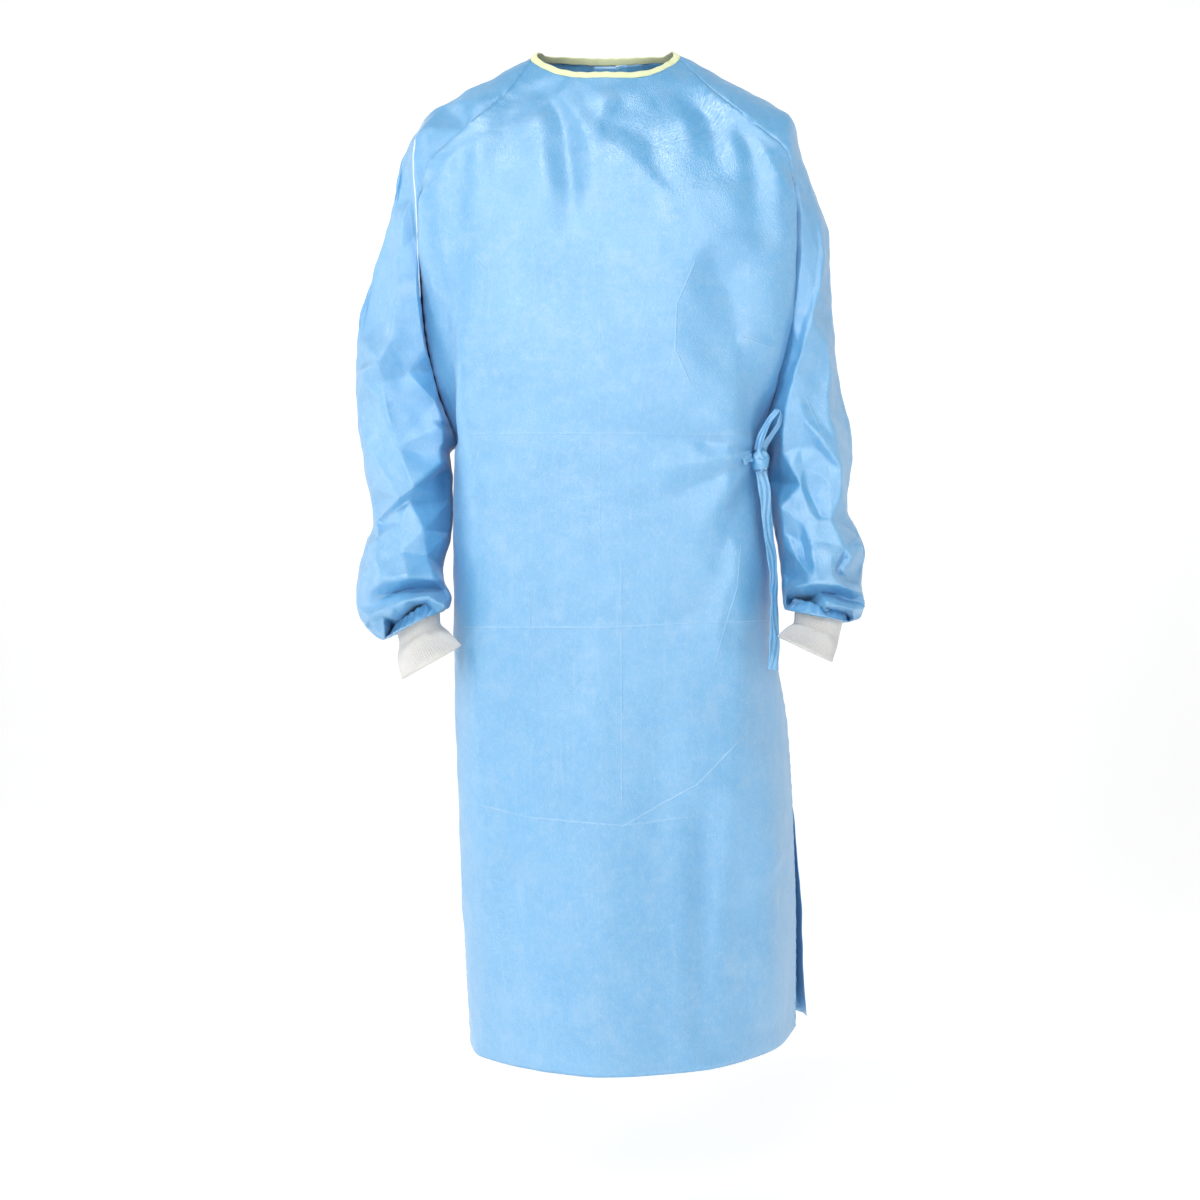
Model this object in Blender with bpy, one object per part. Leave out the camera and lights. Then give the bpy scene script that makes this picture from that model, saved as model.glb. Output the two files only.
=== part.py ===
"""Disposable surgical gown with raglan sleeves, hung in the pose in which it is worn.

Metres, +Z up. The wearer faces -Y, so the wearer's right side is at -X.
The origin is the middle of the neck opening, at the level of the binding on the shoulders.

Every cloth panel is a wall worked out on a grid. A grid's rows run down the garment. In the yoke
(stations 0 to 9) a row of the front, of both sleeves and of the backs ends on the same raglan seam
points, and from the underarm to the hem (stations 9 to 16) a row ends on the side seams.
"""

import bpy
import numpy as np

# ---------------------------------------------------------------- sizes
CLOTH = 0.0015          # wall of the nonwoven cloth
KNIT = 0.0022           # wall of the knitted cuff
BINDING = 0.0026        # folded binding, edge to edge through the cloth
SEAM_GAP = 0.0003       # pieces stop this far from each other at a seam
BINDING_WIDTH = 0.009
BINDING_LIFT = 0.0005   # binding stands this far above the middle of the neck edge
TIE_WIDTH = 0.0155
LAP = 0.004             # how far the outer back stands out over the inner one
TUCK = 0.009            # how far the inner back is drawn in where the outer one covers it
HEM_FLARE = 0.010       # the outer back's free edge stands off the body at the hem
TAB = 0.0016            # hook-and-loop tab at the back of the neck
TAB_WIDTH = 0.020
TAB_STEP = 0.012        # it reaches this far past the free edge before it lies on the inner back
KNOT_AT = (0.1757, -0.0955, -0.4934)
KNOT_SIZE = (0.0105, 0.0080, 0.0125)
KNOT_LUMP = 0.16

UNDERARM = 9            # station of the underarm point
HEM = 16                # station of the hem

FRONT_COLUMNS = 29
BACK_COLUMNS = 15
SLEEVE_COLUMNS = 23
YOKE_STEPS = 15
SKIRT_STEPS = 13
SLEEVE_STEPS = 24

BLUE = (0.40, 0.65, 0.92, 1)
WHITE = (0.86, 0.85, 0.82, 1)
YELLOW = (0.74, 0.79, 0.46, 1)


def table(names, *rows):
    """Named columns of numbers, from one tuple a row."""
    return dict(zip(names.split(), np.array(rows, float).T))


# Front panel: station by station from the neck to the hem. The chest is the corner where the
# flat front turns, the edge is the widest fold of the panel, and the seam is where it ends.
FRONT = table(
    "station z y",
    (0, -0.038, -0.065), (1, -0.072, -0.086), (2, -0.106, -0.103), (3, -0.148, -0.117),
    (4, -0.190, -0.127), (5, -0.240, -0.135), (6, -0.330, -0.142), (7, -0.400, -0.145),
    (8, -0.448, -0.147), (9, -0.470, -0.147), (10, -0.520, -0.146), (11, -0.600, -0.147),
    (12, -0.700, -0.149), (13, -0.820, -0.152), (14, -0.940, -0.156), (15, -1.080, -0.161),
    (16, -1.212, -0.167),
)
FRONT_RIGHT = table(
    "chest_x chest_y edge_x edge_y seam_x seam_y seam_z",
    (-0.040, -0.057, -0.068, -0.041, -0.0905, -0.015, -0.007),
    (-0.063, -0.078, -0.096, -0.066, -0.120, -0.060, -0.056),
    (-0.088, -0.096, -0.138, -0.090, -0.165, -0.091, -0.101),
    (-0.115, -0.110, -0.186, -0.102, -0.2135, -0.090, -0.150),
    (-0.135, -0.119, -0.2205, -0.090, -0.220, -0.064, -0.190),
    (-0.146, -0.125, -0.2225, -0.082, -0.2235, -0.052, -0.240),
    (-0.158, -0.128, -0.186, -0.104, -0.2190, -0.038, -0.330),
    (-0.160, -0.129, -0.184, -0.092, -0.2060, -0.022, -0.400),
    (-0.158, -0.129, -0.181, -0.076, -0.1900, -0.007, -0.448),
    (-0.156, -0.128, -0.180, -0.060, -0.1820, 0.005, -0.470),
    (-0.152, -0.126, -0.1815, -0.040, -0.1800, 0.020, -0.520),
    (-0.152, -0.126, -0.1840, -0.036, -0.1820, 0.025, -0.600),
    (-0.150, -0.127, -0.1825, -0.034, -0.1810, 0.028, -0.700),
    (-0.146, -0.124, -0.1800, -0.034, -0.1790, 0.030, -0.820),
    (-0.138, -0.120, -0.1760, -0.032, -0.1775, 0.032, -0.940),
    (-0.122, -0.112, -0.1670, -0.030, -0.1735, 0.034, -1.080),
    (-0.106, -0.102, -0.1560, -0.028, -0.1670, 0.036, -1.206),
)
FRONT_LEFT = table(
    "chest_x chest_y edge_x edge_y seam_x seam_y seam_z",
    (0.043, -0.057, 0.071, -0.040, 0.0905, -0.012, -0.004),
    (0.066, -0.078, 0.100, -0.068, 0.125, -0.064, -0.050),
    (0.092, -0.096, 0.142, -0.090, 0.170, -0.091, -0.093),
    (0.117, -0.110, 0.190, -0.098, 0.218, -0.084, -0.136),
    (0.137, -0.120, 0.2260, -0.088, 0.2245, -0.068, -0.185),
    (0.148, -0.126, 0.2255, -0.087, 0.2230, -0.066, -0.240),
    (0.154, -0.131, 0.2205, -0.080, 0.2180, -0.060, -0.330),
    (0.153, -0.133, 0.2040, -0.070, 0.2075, -0.044, -0.400),
    (0.148, -0.134, 0.1870, -0.062, 0.1945, -0.024, -0.448),
    (0.145, -0.133, 0.1770, -0.054, 0.1835, 0.005, -0.470),
    (0.140, -0.131, 0.1770, -0.038, 0.1810, 0.025, -0.520),
    (0.146, -0.130, 0.1900, -0.030, 0.1930, 0.032, -0.600),
    (0.150, -0.129, 0.1985, -0.022, 0.2030, 0.045, -0.700),
    (0.148, -0.125, 0.2060, -0.012, 0.2200, 0.068, -0.820),
    (0.139, -0.125, 0.2030, -0.012, 0.2260, 0.078, -0.940),
    (0.126, -0.128, 0.1960, -0.010, 0.2300, 0.090, -1.080),
    (0.113, -0.131, 0.1860, -0.008, 0.2300, 0.100, -1.200),
)

# Backs: the raglan seams of the yoke, the corners where the back turns, and how far round the
# outer back (from the wearer's right) and the inner back (from the left) reach, as shares.
BACK = table(
    "z y right_x right_y left_x left_y outer_to inner_from",
    (0.006, 0.072, -0.044, 0.063, 0.044, 0.063, 0.57, 0.42),
    (-0.040, 0.091, -0.068, 0.087, 0.068, 0.087, 0.575, 0.41),
    (-0.086, 0.107, -0.094, 0.105, 0.094, 0.105, 0.58, 0.40),
    (-0.135, 0.121, -0.116, 0.120, 0.116, 0.120, 0.59, 0.39),
    (-0.185, 0.131, -0.134, 0.130, 0.134, 0.130, 0.61, 0.38),
    (-0.240, 0.137, -0.146, 0.135, 0.146, 0.135, 0.64, 0.36),
    (-0.330, 0.139, -0.150, 0.134, 0.150, 0.134, 0.70, 0.34),
    (-0.400, 0.136, -0.150, 0.128, 0.150, 0.128, 0.76, 0.32),
    (-0.448, 0.132, -0.143, 0.120, 0.143, 0.120, 0.80, 0.31),
    (-0.470, 0.130, -0.141, 0.116, 0.141, 0.116, 0.82, 0.30),
    (-0.520, 0.128, -0.142, 0.112, 0.142, 0.113, 0.85, 0.30),
    (-0.600, 0.130, -0.146, 0.113, 0.156, 0.118, 0.87, 0.30),
    (-0.700, 0.134, -0.143, 0.116, 0.176, 0.126, 0.88, 0.30),
    (-0.820, 0.140, -0.140, 0.121, 0.198, 0.142, 0.89, 0.30),
    (-0.940, 0.148, -0.136, 0.126, 0.218, 0.160, 0.89, 0.30),
    (-1.080, 0.158, -0.130, 0.132, 0.236, 0.182, 0.88, 0.30),
    (-1.198, 0.168, -0.124, 0.138, 0.246, 0.200, 0.87, 0.30),
)
RAGLAN_BACK = table(
    "x y z",
    (0.078, 0.040, 0.003), (0.112, 0.074, -0.044), (0.153, 0.100, -0.090),
    (0.196, 0.112, -0.138), (0.212, 0.106, -0.188), (0.213, 0.092, -0.240),
    (0.209, 0.076, -0.330), (0.199, 0.052, -0.400), (0.189, 0.024, -0.448),
    (0.1825, 0.005, -0.470),
)

# Sleeves: the outer line runs over the shoulder and down the outside of the arm, the inner line
# starts at the underarm. The depth is half the sleeve's size from front to back, and the pinch
# draws the cloth in towards the two raglan seams.
YOKE_SLEEVE_RIGHT = table(
    "outer_x outer_y outer_z depth pinch",
    (-0.0880, 0.013, 0.004, 0.000, 1.0), (-0.1290, 0.008, -0.021, 0.002, 1.0),
    (-0.1750, 0.004, -0.047, 0.006, 1.0), (-0.2210, 0.002, -0.080, 0.008, 1.0),
    (-0.2420, 0.000, -0.122, 0.012, 1.0), (-0.2530, 0.000, -0.172, 0.020, 1.0),
    (-0.2800, 0.002, -0.258, 0.036, 1.0), (-0.3010, 0.004, -0.328, 0.052, 1.0),
    (-0.3040, 0.004, -0.388, 0.067, 0.6), (-0.3037, 0.005, -0.433, 0.080, 0.0),
)
ARM_RIGHT = table(
    "outer_x outer_z inner_x inner_z y depth",
    (-0.2985, -0.472, -0.1880, -0.484, 0.002, 0.080),
    (-0.2915, -0.508, -0.1885, -0.513, -0.003, 0.077),
    (-0.2845, -0.541, -0.1890, -0.541, -0.008, 0.072),
    (-0.2795, -0.570, -0.1895, -0.565, -0.012, 0.067),
    (-0.2900, -0.596, -0.1900, -0.590, -0.020, 0.070),
    (-0.2975, -0.632, -0.1895, -0.616, -0.030, 0.071),
    (-0.2975, -0.668, -0.1880, -0.642, -0.045, 0.065),
    (-0.2850, -0.701, -0.1880, -0.666, -0.060, 0.057),
    (-0.2660, -0.724, -0.1880, -0.691, -0.070, 0.049),
    (-0.2550, -0.712, -0.1925, -0.682, -0.073, 0.040),
    (-0.2475, -0.702, -0.1995, -0.676, -0.073, 0.033),
)
YOKE_SLEEVE_LEFT = table(
    "outer_x outer_y outer_z depth pinch",
    (0.0880, 0.013, 0.005, 0.000, 1.0), (0.1305, 0.008, -0.020, 0.002, 1.0),
    (0.1755, 0.004, -0.046, 0.006, 1.0), (0.2220, 0.002, -0.075, 0.008, 1.0),
    (0.2345, 0.000, -0.110, 0.010, 1.0), (0.2480, 0.000, -0.156, 0.016, 1.0),
    (0.2700, 0.002, -0.214, 0.028, 1.0), (0.2750, 0.004, -0.296, 0.044, 1.0),
    (0.2800, 0.004, -0.362, 0.064, 0.6), (0.2900, 0.005, -0.418, 0.080, 0.0),
)
ARM_LEFT = table(
    "outer_x outer_z inner_x inner_z y depth",
    (0.2995, -0.467, 0.1960, -0.481, 0.002, 0.080),
    (0.2970, -0.514, 0.1965, -0.511, -0.003, 0.076),
    (0.2925, -0.553, 0.1995, -0.543, -0.010, 0.069),
    (0.3060, -0.580, 0.2050, -0.569, -0.016, 0.068),
    (0.3120, -0.604, 0.2085, -0.594, -0.025, 0.070),
    (0.3075, -0.645, 0.2110, -0.632, -0.042, 0.067),
    (0.3100, -0.665, 0.2120, -0.650, -0.055, 0.062),
    (0.3035, -0.689, 0.2130, -0.676, -0.065, 0.055),
    (0.2900, -0.702, 0.2140, -0.690, -0.070, 0.048),
    (0.2865, -0.696, 0.2190, -0.684, -0.073, 0.040),
    (0.2820, -0.689, 0.2260, -0.677, -0.073, 0.033),
)

# Cuffs: rings from the sewn top, inside the sleeve's end, down to the wrist.
CUFF_RIGHT = table(
    "outer_x outer_z inner_x inner_z y depth",
    (-0.2469, -0.6974, -0.2039, -0.6736, -0.0730, 0.0305),
    (-0.2450, -0.7009, -0.2020, -0.6771, -0.0730, 0.0305),
    (-0.2440, -0.7150, -0.1985, -0.6890, -0.0735, 0.0300),
    (-0.2455, -0.7330, -0.1860, -0.7010, -0.0850, 0.0300),
    (-0.2390, -0.7550, -0.1700, -0.7155, -0.1060, 0.0325),
)
CUFF_LEFT = table(
    "outer_x outer_z inner_x inner_z y depth",
    (0.2805, -0.6846, 0.2293, -0.6736, -0.0730, 0.0305),
    (0.2796, -0.6886, 0.2284, -0.6774, -0.0730, 0.0305),
    (0.2770, -0.7020, 0.2260, -0.6885, -0.0735, 0.0300),
    (0.2730, -0.7175, 0.2145, -0.6960, -0.0850, 0.0300),
    (0.2660, -0.7345, 0.2026, -0.7045, -0.1060, 0.0325),
)

# Folds as seen from the front or the back: each runs from one point to another, with its width
# across and its depth. A positive depth is a trough, a negative one is a ridge.
FOLD_COLUMNS = "from_x from_z to_x to_z width depth"
BODY_FRONT_FOLDS = table(
    FOLD_COLUMNS,
    (-0.064, -0.034, -0.044, -0.200, 0.016, 0.009),     # from the right of the neck
    (-0.092, -0.060, -0.082, -0.130, 0.014, -0.006),
    (-0.172, -0.105, -0.170, -0.225, 0.015, 0.011),     # beside the right shoulder
    (0.184, -0.105, 0.182, -0.225, 0.016, 0.010),       # beside the left shoulder
    (-0.020, -0.075, 0.058, -0.160, 0.017, -0.006),
    (0.100, -0.240, 0.136, -0.330, 0.026, 0.010),       # hollow of the left chest
    (0.078, -0.255, 0.076, -0.350, 0.015, -0.006),
    (0.105, -0.425, 0.165, -0.480, 0.014, 0.008),       # pulls that run to the knot
    (0.085, -0.500, 0.165, -0.498, 0.013, 0.006),
    (0.108, -0.575, 0.168, -0.515, 0.014, 0.008),
    (0.160, -0.570, 0.148, -0.720, 0.018, 0.009),
    (0.110, -0.860, 0.112, -1.210, 0.028, 0.012),       # soft fall of the skirt
    (0.172, -0.880, 0.176, -1.210, 0.024, -0.008),
    (-0.105, -0.880, -0.098, -1.210, 0.022, 0.009),
    (-0.010, -0.640, -0.006, -1.210, 0.034, -0.006),
)
BODY_BACK_FOLDS = table(
    FOLD_COLUMNS,
    (-0.125, -0.110, -0.100, -0.310, 0.022, 0.009),
    (0.125, -0.110, 0.105, -0.290, 0.022, 0.008),
    (-0.030, -0.060, -0.045, -0.250, 0.022, 0.005),
    (-0.060, -0.525, 0.120, -0.492, 0.018, 0.005),
    (-0.130, -0.560, -0.020, -0.500, 0.018, 0.005),
    (-0.090, -0.640, -0.082, -1.210, 0.030, 0.009),
    (0.005, -0.600, 0.018, -1.210, 0.032, -0.008),
    (0.090, -0.620, 0.112, -1.210, 0.028, 0.009),
)
SLEEVE_RIGHT_FRONT_FOLDS = table(
    FOLD_COLUMNS,
    (-0.228, -0.095, -0.238, -0.230, 0.011, 0.014),     # pleat below the shoulder
    (-0.246, -0.360, -0.200, -0.440, 0.014, -0.010),
    (-0.256, -0.400, -0.256, -0.470, 0.013, 0.008),
    (-0.276, -0.462, -0.222, -0.520, 0.013, 0.012),     # sharp fold of the elbow
    (-0.222, -0.528, -0.280, -0.566, 0.012, 0.014),
    (-0.252, -0.538, -0.200, -0.576, 0.013, -0.010),
    (-0.270, -0.628, -0.195, -0.632, 0.012, 0.012),     # rolls above the cuff
    (-0.262, -0.606, -0.195, -0.604, 0.014, -0.010),
    (-0.276, -0.656, -0.208, -0.660, 0.012, 0.013),
    (-0.284, -0.690, -0.198, -0.642, 0.012, -0.008),
)
SLEEVE_LEFT_FRONT_FOLDS = table(
    FOLD_COLUMNS,
    (0.250, -0.178, 0.248, -0.290, 0.012, 0.018),       # long pleat beside the left arm
    (0.248, -0.290, 0.210, -0.455, 0.012, 0.014),
    (0.234, -0.395, 0.276, -0.480, 0.014, -0.010),
    (0.277, -0.490, 0.278, -0.590, 0.014, -0.010),
    (0.220, -0.478, 0.252, -0.545, 0.013, 0.012),
    (0.206, -0.550, 0.214, -0.606, 0.012, -0.008),
    (0.245, -0.585, 0.226, -0.622, 0.012, -0.008),
    (0.222, -0.640, 0.290, -0.644, 0.012, 0.014),       # rolls above the cuff
    (0.226, -0.616, 0.302, -0.616, 0.014, -0.010),
)
SLEEVE_BACK_FOLDS = table(
    FOLD_COLUMNS,
    (0.262, -0.200, 0.236, -0.400, 0.018, 0.012),
    (0.285, -0.440, 0.220, -0.500, 0.015, 0.011),
    (0.290, -0.520, 0.212, -0.548, 0.014, 0.013),
    (0.295, -0.575, 0.220, -0.600, 0.014, -0.010),
    (0.292, -0.630, 0.222, -0.642, 0.013, 0.012),
)

# Ties: middle line of a strip, with the way that its face looks.
TIE_COLUMNS = "x y z face_x face_y face_z"
TIE_LOOP = table(
    TIE_COLUMNS,
    (0.1732, -0.0975, -0.4801, -0.5, -0.8, 0.2),
    (0.1782, -0.1000, -0.4656, -0.6, -0.7, 0.2),
    (0.1857, -0.1000, -0.4496, -0.7, -0.6, 0.2),
    (0.1932, -0.0980, -0.4366, -0.6, -0.5, 0.5),
    (0.1987, -0.0940, -0.4311, 0.0, -0.3, 0.9),
    (0.2027, -0.0910, -0.4366, 0.8, -0.4, 0.4),
    (0.2012, -0.0900, -0.4476, 0.9, -0.5, 0.0),
    (0.1927, -0.0895, -0.4606, 0.7, -0.5, -0.3),
    (0.1837, -0.0905, -0.4726, 0.6, -0.6, -0.2),
    (0.1807, -0.0920, -0.4801, 0.5, -0.7, 0.0),
)
TIE_TAIL = table(
    TIE_COLUMNS,
    (0.1817, -0.0957, -0.5059, 0.2, -1.0, 0.0),
    (0.1855, -0.0976, -0.5250, 0.3, -1.0, 0.0),
    (0.1905, -0.0980, -0.5500, 0.5, -0.9, 0.0),
    (0.1955, -0.0960, -0.5800, 0.7, -0.7, 0.0),
    (0.2000, -0.0930, -0.6200, 0.8, -0.6, 0.0),
    (0.1985, -0.0930, -0.6600, 0.7, -0.7, 0.0),
    (0.1935, -0.0960, -0.7000, 0.5, -0.9, 0.0),
    (0.1915, -0.1000, -0.7450, 0.3, -1.0, 0.0),
)
TIE_STUB = table(
    TIE_COLUMNS,
    (0.1656, -0.1040, -0.4898, -0.1, -1.0, 0.1),
    (0.1596, -0.1140, -0.4908, 0.6, -0.8, 0.0),
    (0.1541, -0.1200, -0.4958, 0.6, -0.8, 0.0),
)
TIE_BACK_LEVEL = 9.45     # station of the body at which the tie from the back runs forward
TIE_BACK = table(
    "on_front share off",   # share round the back or across the front, and how far off the body
    (0, 0.76, 0.0080), (0, 0.82, 0.0080), (0, 0.865, 0.0066), (0, 0.91, 0.0048), (0, 0.96, 0.0042),
    (1, 0.995, 0.0042), (1, 0.96, 0.0044), (1, 0.925, 0.0046), (1, 0.895, 0.0046), (1, 0.868, 0.0046),
    (1, 0.850, 0.0040),
)


# ---------------------------------------------------------------- working out shapes
def smooth(at, stations, values):
    """Monotone cubic through values (last axis) at rising stations, with no overshoot."""
    at = np.asarray(at, float)
    stations = np.asarray(stations, float)
    values = np.asarray(values, float)
    step = np.diff(stations)
    slope = np.diff(values, axis=-1) / step
    tangent = np.zeros_like(values)
    before, after = slope[..., :-1], slope[..., 1:]
    same = before * after > 0
    first = 2 * step[1:] + step[:-1]
    second = step[1:] + 2 * step[:-1]
    safe_before = np.where(same, before, 1)
    safe_after = np.where(same, after, 1)
    harmonic = (first + second) / (first / safe_before + second / safe_after)
    tangent[..., 1:-1] = np.where(same, harmonic, 0)
    tangent[..., 0] = slope[..., 0]
    tangent[..., -1] = slope[..., -1]
    i = np.clip(np.searchsorted(stations, at, side="right") - 1, 0, len(step) - 1)
    h = step[i]
    t = (at - stations[i]) / h
    return (
        values[..., i] * (1 + 2 * t) * (1 - t) ** 2
        + tangent[..., i] * h * t * (1 - t) ** 2
        + values[..., i + 1] * t ** 2 * (3 - 2 * t)
        + tangent[..., i + 1] * h * t ** 2 * (t - 1)
    )


def ease(low, high, x):
    """0 below low, 1 above high and a soft step between."""
    t = np.clip((x - low) / (high - low), 0, 1)
    return t * t * (3 - 2 * t)


def read(columns, name, at):
    """One column of a table at fractional row numbers."""
    return smooth(at, np.arange(len(columns[name])), columns[name])


def points(x, y, z):
    return np.stack(np.broadcast_arrays(x, y, z), axis=-1).astype(float)


def front_points(station, u):
    """Front panel at stations (rows) and shares u of the way from right seam to left seam."""
    keys = [0, 0.10, 0.24, 0.5, 0.76, 0.90, 1]
    right, left = FRONT_RIGHT, FRONT_LEFT
    x = np.stack([
        read(right, "seam_x", station), read(right, "edge_x", station),
        read(right, "chest_x", station), 0.0 * station,
        read(left, "chest_x", station), read(left, "edge_x", station),
        read(left, "seam_x", station)], axis=-1)
    y = np.stack([
        read(right, "seam_y", station), read(right, "edge_y", station),
        read(right, "chest_y", station), read(FRONT, "y", station),
        read(left, "chest_y", station), read(left, "edge_y", station),
        read(left, "seam_y", station)], axis=-1)
    middle = read(FRONT, "z", station)[:, None]
    seam = np.where(u < 0.5, read(right, "seam_z", station)[:, None],
                    read(left, "seam_z", station)[:, None])
    z = seam + (middle - seam) * (1 - np.abs(2 * u - 1) ** 4)
    return points(smooth(u, keys, x), smooth(u, keys, y), z)


def back_seam(side, station):
    """Back raglan seam down to the underarm, then the side seam, on side -1 (right) or +1."""
    front = FRONT_RIGHT if side < 0 else FRONT_LEFT
    top = np.minimum(station, UNDERARM)
    yoke = points(side * read(RAGLAN_BACK, "x", top), read(RAGLAN_BACK, "y", top),
                  read(RAGLAN_BACK, "z", top))
    skirt = points(read(front, "seam_x", station), read(front, "seam_y", station),
                   read(front, "seam_z", station))
    return np.where((station >= UNDERARM)[:, None], skirt, yoke)


def back_points(station, v):
    """Back of the body, at shares v (rows by columns) from the right seam round to the left."""
    right, left = back_seam(-1, station), back_seam(1, station)
    keys = np.array([0, 0.25, 0.5, 0.75, 1])
    middle = 0.5 * (read(BACK, "right_x", station) + read(BACK, "left_x", station))
    x = np.stack([right[:, 0], read(BACK, "right_x", station), middle,
                  read(BACK, "left_x", station), left[:, 0]], axis=-1)
    y = np.stack([right[:, 1], read(BACK, "right_y", station), read(BACK, "y", station),
                  read(BACK, "left_y", station), left[:, 1]], axis=-1)
    z = np.stack([right[:, 2], read(BACK, "z", station), read(BACK, "z", station),
                  read(BACK, "z", station), left[:, 2]], axis=-1)
    rows = [points(smooth(row, keys, x[i]), smooth(row, keys, y[i]), smooth(row, keys, z[i]))
            for i, row in enumerate(v)]
    return np.array(rows)


def sleeve_points(side, station, turn):
    """Sleeve from its front seam (turn 0) over the arm to its back seam (turn 1)."""
    yoke = YOKE_SLEEVE_RIGHT if side < 0 else YOKE_SLEEVE_LEFT
    arm = ARM_RIGHT if side < 0 else ARM_LEFT
    front = FRONT_RIGHT if side < 0 else FRONT_LEFT
    joined = {
        "outer_x": np.append(yoke["outer_x"], arm["outer_x"]),
        "outer_y": np.append(yoke["outer_y"], arm["y"]),
        "outer_z": np.append(yoke["outer_z"], arm["outer_z"]),
        "depth": np.append(yoke["depth"], arm["depth"]),
        "pinch": np.append(yoke["pinch"], 0 * arm["y"]),
    }
    seam = {axis: front["seam_" + axis][:UNDERARM + 1] for axis in "xyz"}
    inner = {
        "x": np.append(seam["x"], arm["inner_x"]),
        "y": np.append(seam["y"], arm["y"]),
        "z": np.append(seam["z"], arm["inner_z"]),
    }
    yoke_rows = np.minimum(station, UNDERARM)
    in_yoke = (station <= UNDERARM)[:, None]
    down = points(read(inner, "x", station), read(inner, "y", station), read(inner, "z", station))
    start = np.where(in_yoke, points(read(front, "seam_x", yoke_rows), read(front, "seam_y", yoke_rows),
                                     read(front, "seam_z", yoke_rows)), down)
    end = np.where(in_yoke, back_seam(side, yoke_rows), down)
    top = points(read(joined, "outer_x", station), read(joined, "outer_y", station),
                 read(joined, "outer_z", station))
    middle = 0.5 * (start + end)[:, None]
    half = 0.5 * (start - end)[:, None]
    out = top[:, None] - middle
    a = np.pi * turn[None, :]
    pinch = read(joined, "pinch", station)[:, None]
    swell = np.sin(2 * a) * np.maximum(np.sin(a), 1e-9) ** pinch * (1 + 0.3 * pinch)
    depth = -read(joined, "depth", station)[:, None] * swell
    bulge = points(0 * depth, depth, 0 * depth)
    return middle + half * np.cos(a)[..., None] + out * (np.sin(a) ** 2)[..., None] + bulge


def fold_relief(at, folds, width_share=1.0):
    """How far folds push the cloth in, by the distance of each point from each fold in XZ."""
    x, z = at[..., 0], at[..., 2]
    depth = np.zeros(x.shape)
    for k in range(len(folds["depth"])):
        ax, az = folds["from_x"][k], folds["from_z"][k]
        bx, bz = folds["to_x"][k], folds["to_z"][k]
        length = np.hypot(bx - ax, bz - az)
        along = ((x - ax) * (bx - ax) + (z - az) * (bz - az)) / length ** 2
        across = ((x - ax) * (bz - az) - (z - az) * (bx - ax)) / length
        width = folds["width"][k] * width_share
        beyond = np.maximum(np.abs(along - 0.5) - 0.5, 0) * length
        taper = np.sqrt(np.clip(np.minimum(along, 1 - along) * 4 + 0.15, 0, 1))
        depth += (folds["depth"][k] * taper * np.exp(-(across / width) ** 2)
                  * np.exp(-(beyond / width) ** 2))
    return depth


def grid_normals(grid, outward):
    """Unit normals of a grid. outward is 1 or -1, whichever points them out."""
    down = np.gradient(grid, axis=0)
    across = np.gradient(grid, axis=1)
    normal = outward * np.cross(down, across)
    return normal / np.maximum(np.linalg.norm(normal, axis=-1, keepdims=True), 1e-12)


def folded(grid, outward, facing, folds, edge_fade):
    """The grid with its folds pressed in where it faces the viewer of those folds."""
    normal = grid_normals(grid, outward)
    mask = ease(0.15, 0.6, facing * normal[..., 1]) * edge_fade
    return grid - normal * (fold_relief(grid, folds) * mask)[..., None]


def side_fade(columns, share=0.06):
    """1 inside a panel, falling to 0 at its first and last column."""
    u = np.linspace(0, 1, columns)
    return np.clip(np.minimum(u, 1 - u) / share, 0, 1)[None, :]


# ---------------------------------------------------------------- making solids
def material(name, colour, roughness):
    found = bpy.data.materials.get(name)
    if found:
        return found
    made = bpy.data.materials.new(name)
    made.use_nodes = True
    shader = made.node_tree.nodes["Principled BSDF"]
    shader.inputs["Base Color"].default_value = colour
    shader.inputs["Roughness"].default_value = roughness
    shader.inputs["Metallic"].default_value = 0.0
    return made


def new_object(name, vertices, faces, look):
    mesh = bpy.data.meshes.new(name)
    mesh.from_pydata([tuple(v) for v in vertices], [], faces)
    mesh.update()
    mesh.shade_smooth()
    mesh.set_sharp_from_angle(angle=np.radians(50))
    mesh.materials.append(look)
    made = bpy.data.objects.new(name, mesh)
    bpy.context.scene.collection.objects.link(made)
    return made


def wall(name, grid, normal, outward, thick, look, ring_from=None):
    """A closed wall on a grid of middle points. Rows past ring_from join into rings."""
    rows, columns = grid.shape[:2]
    outer = grid + normal * thick / 2
    inner = grid - normal * thick / 2
    index = np.arange(rows * columns).reshape(rows, columns)
    if ring_from is not None:
        index[ring_from + 1:, -1] = index[ring_from + 1:, 0]
    under = index + rows * columns
    faces = []

    def quad(a, b, c, d):
        faces.append((a, b, c, d) if outward > 0 else (d, c, b, a))

    for r in range(rows - 1):
        for c in range(columns - 1):
            quad(index[r, c], index[r + 1, c], index[r + 1, c + 1], index[r, c + 1])
            quad(under[r, c + 1], under[r + 1, c + 1], under[r + 1, c], under[r, c])
        if ring_from is None or r <= ring_from:
            quad(index[r, 0], under[r, 0], under[r + 1, 0], index[r + 1, 0])
            quad(index[r + 1, -1], under[r + 1, -1], under[r, -1], index[r, -1])
    for c in range(columns - 1):
        quad(index[0, c + 1], under[0, c + 1], under[0, c], index[0, c])
        quad(index[-1, c], under[-1, c], under[-1, c + 1], index[-1, c + 1])
    vertices = np.concatenate([outer.reshape(-1, 3), inner.reshape(-1, 3)])
    used = np.unique([i for face in faces for i in face])
    renumber = np.full(len(vertices), -1)
    renumber[used] = np.arange(len(used))
    faces = [tuple(int(renumber[i]) for i in face) for face in faces]
    return new_object(name, vertices[used], faces, look)


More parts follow.
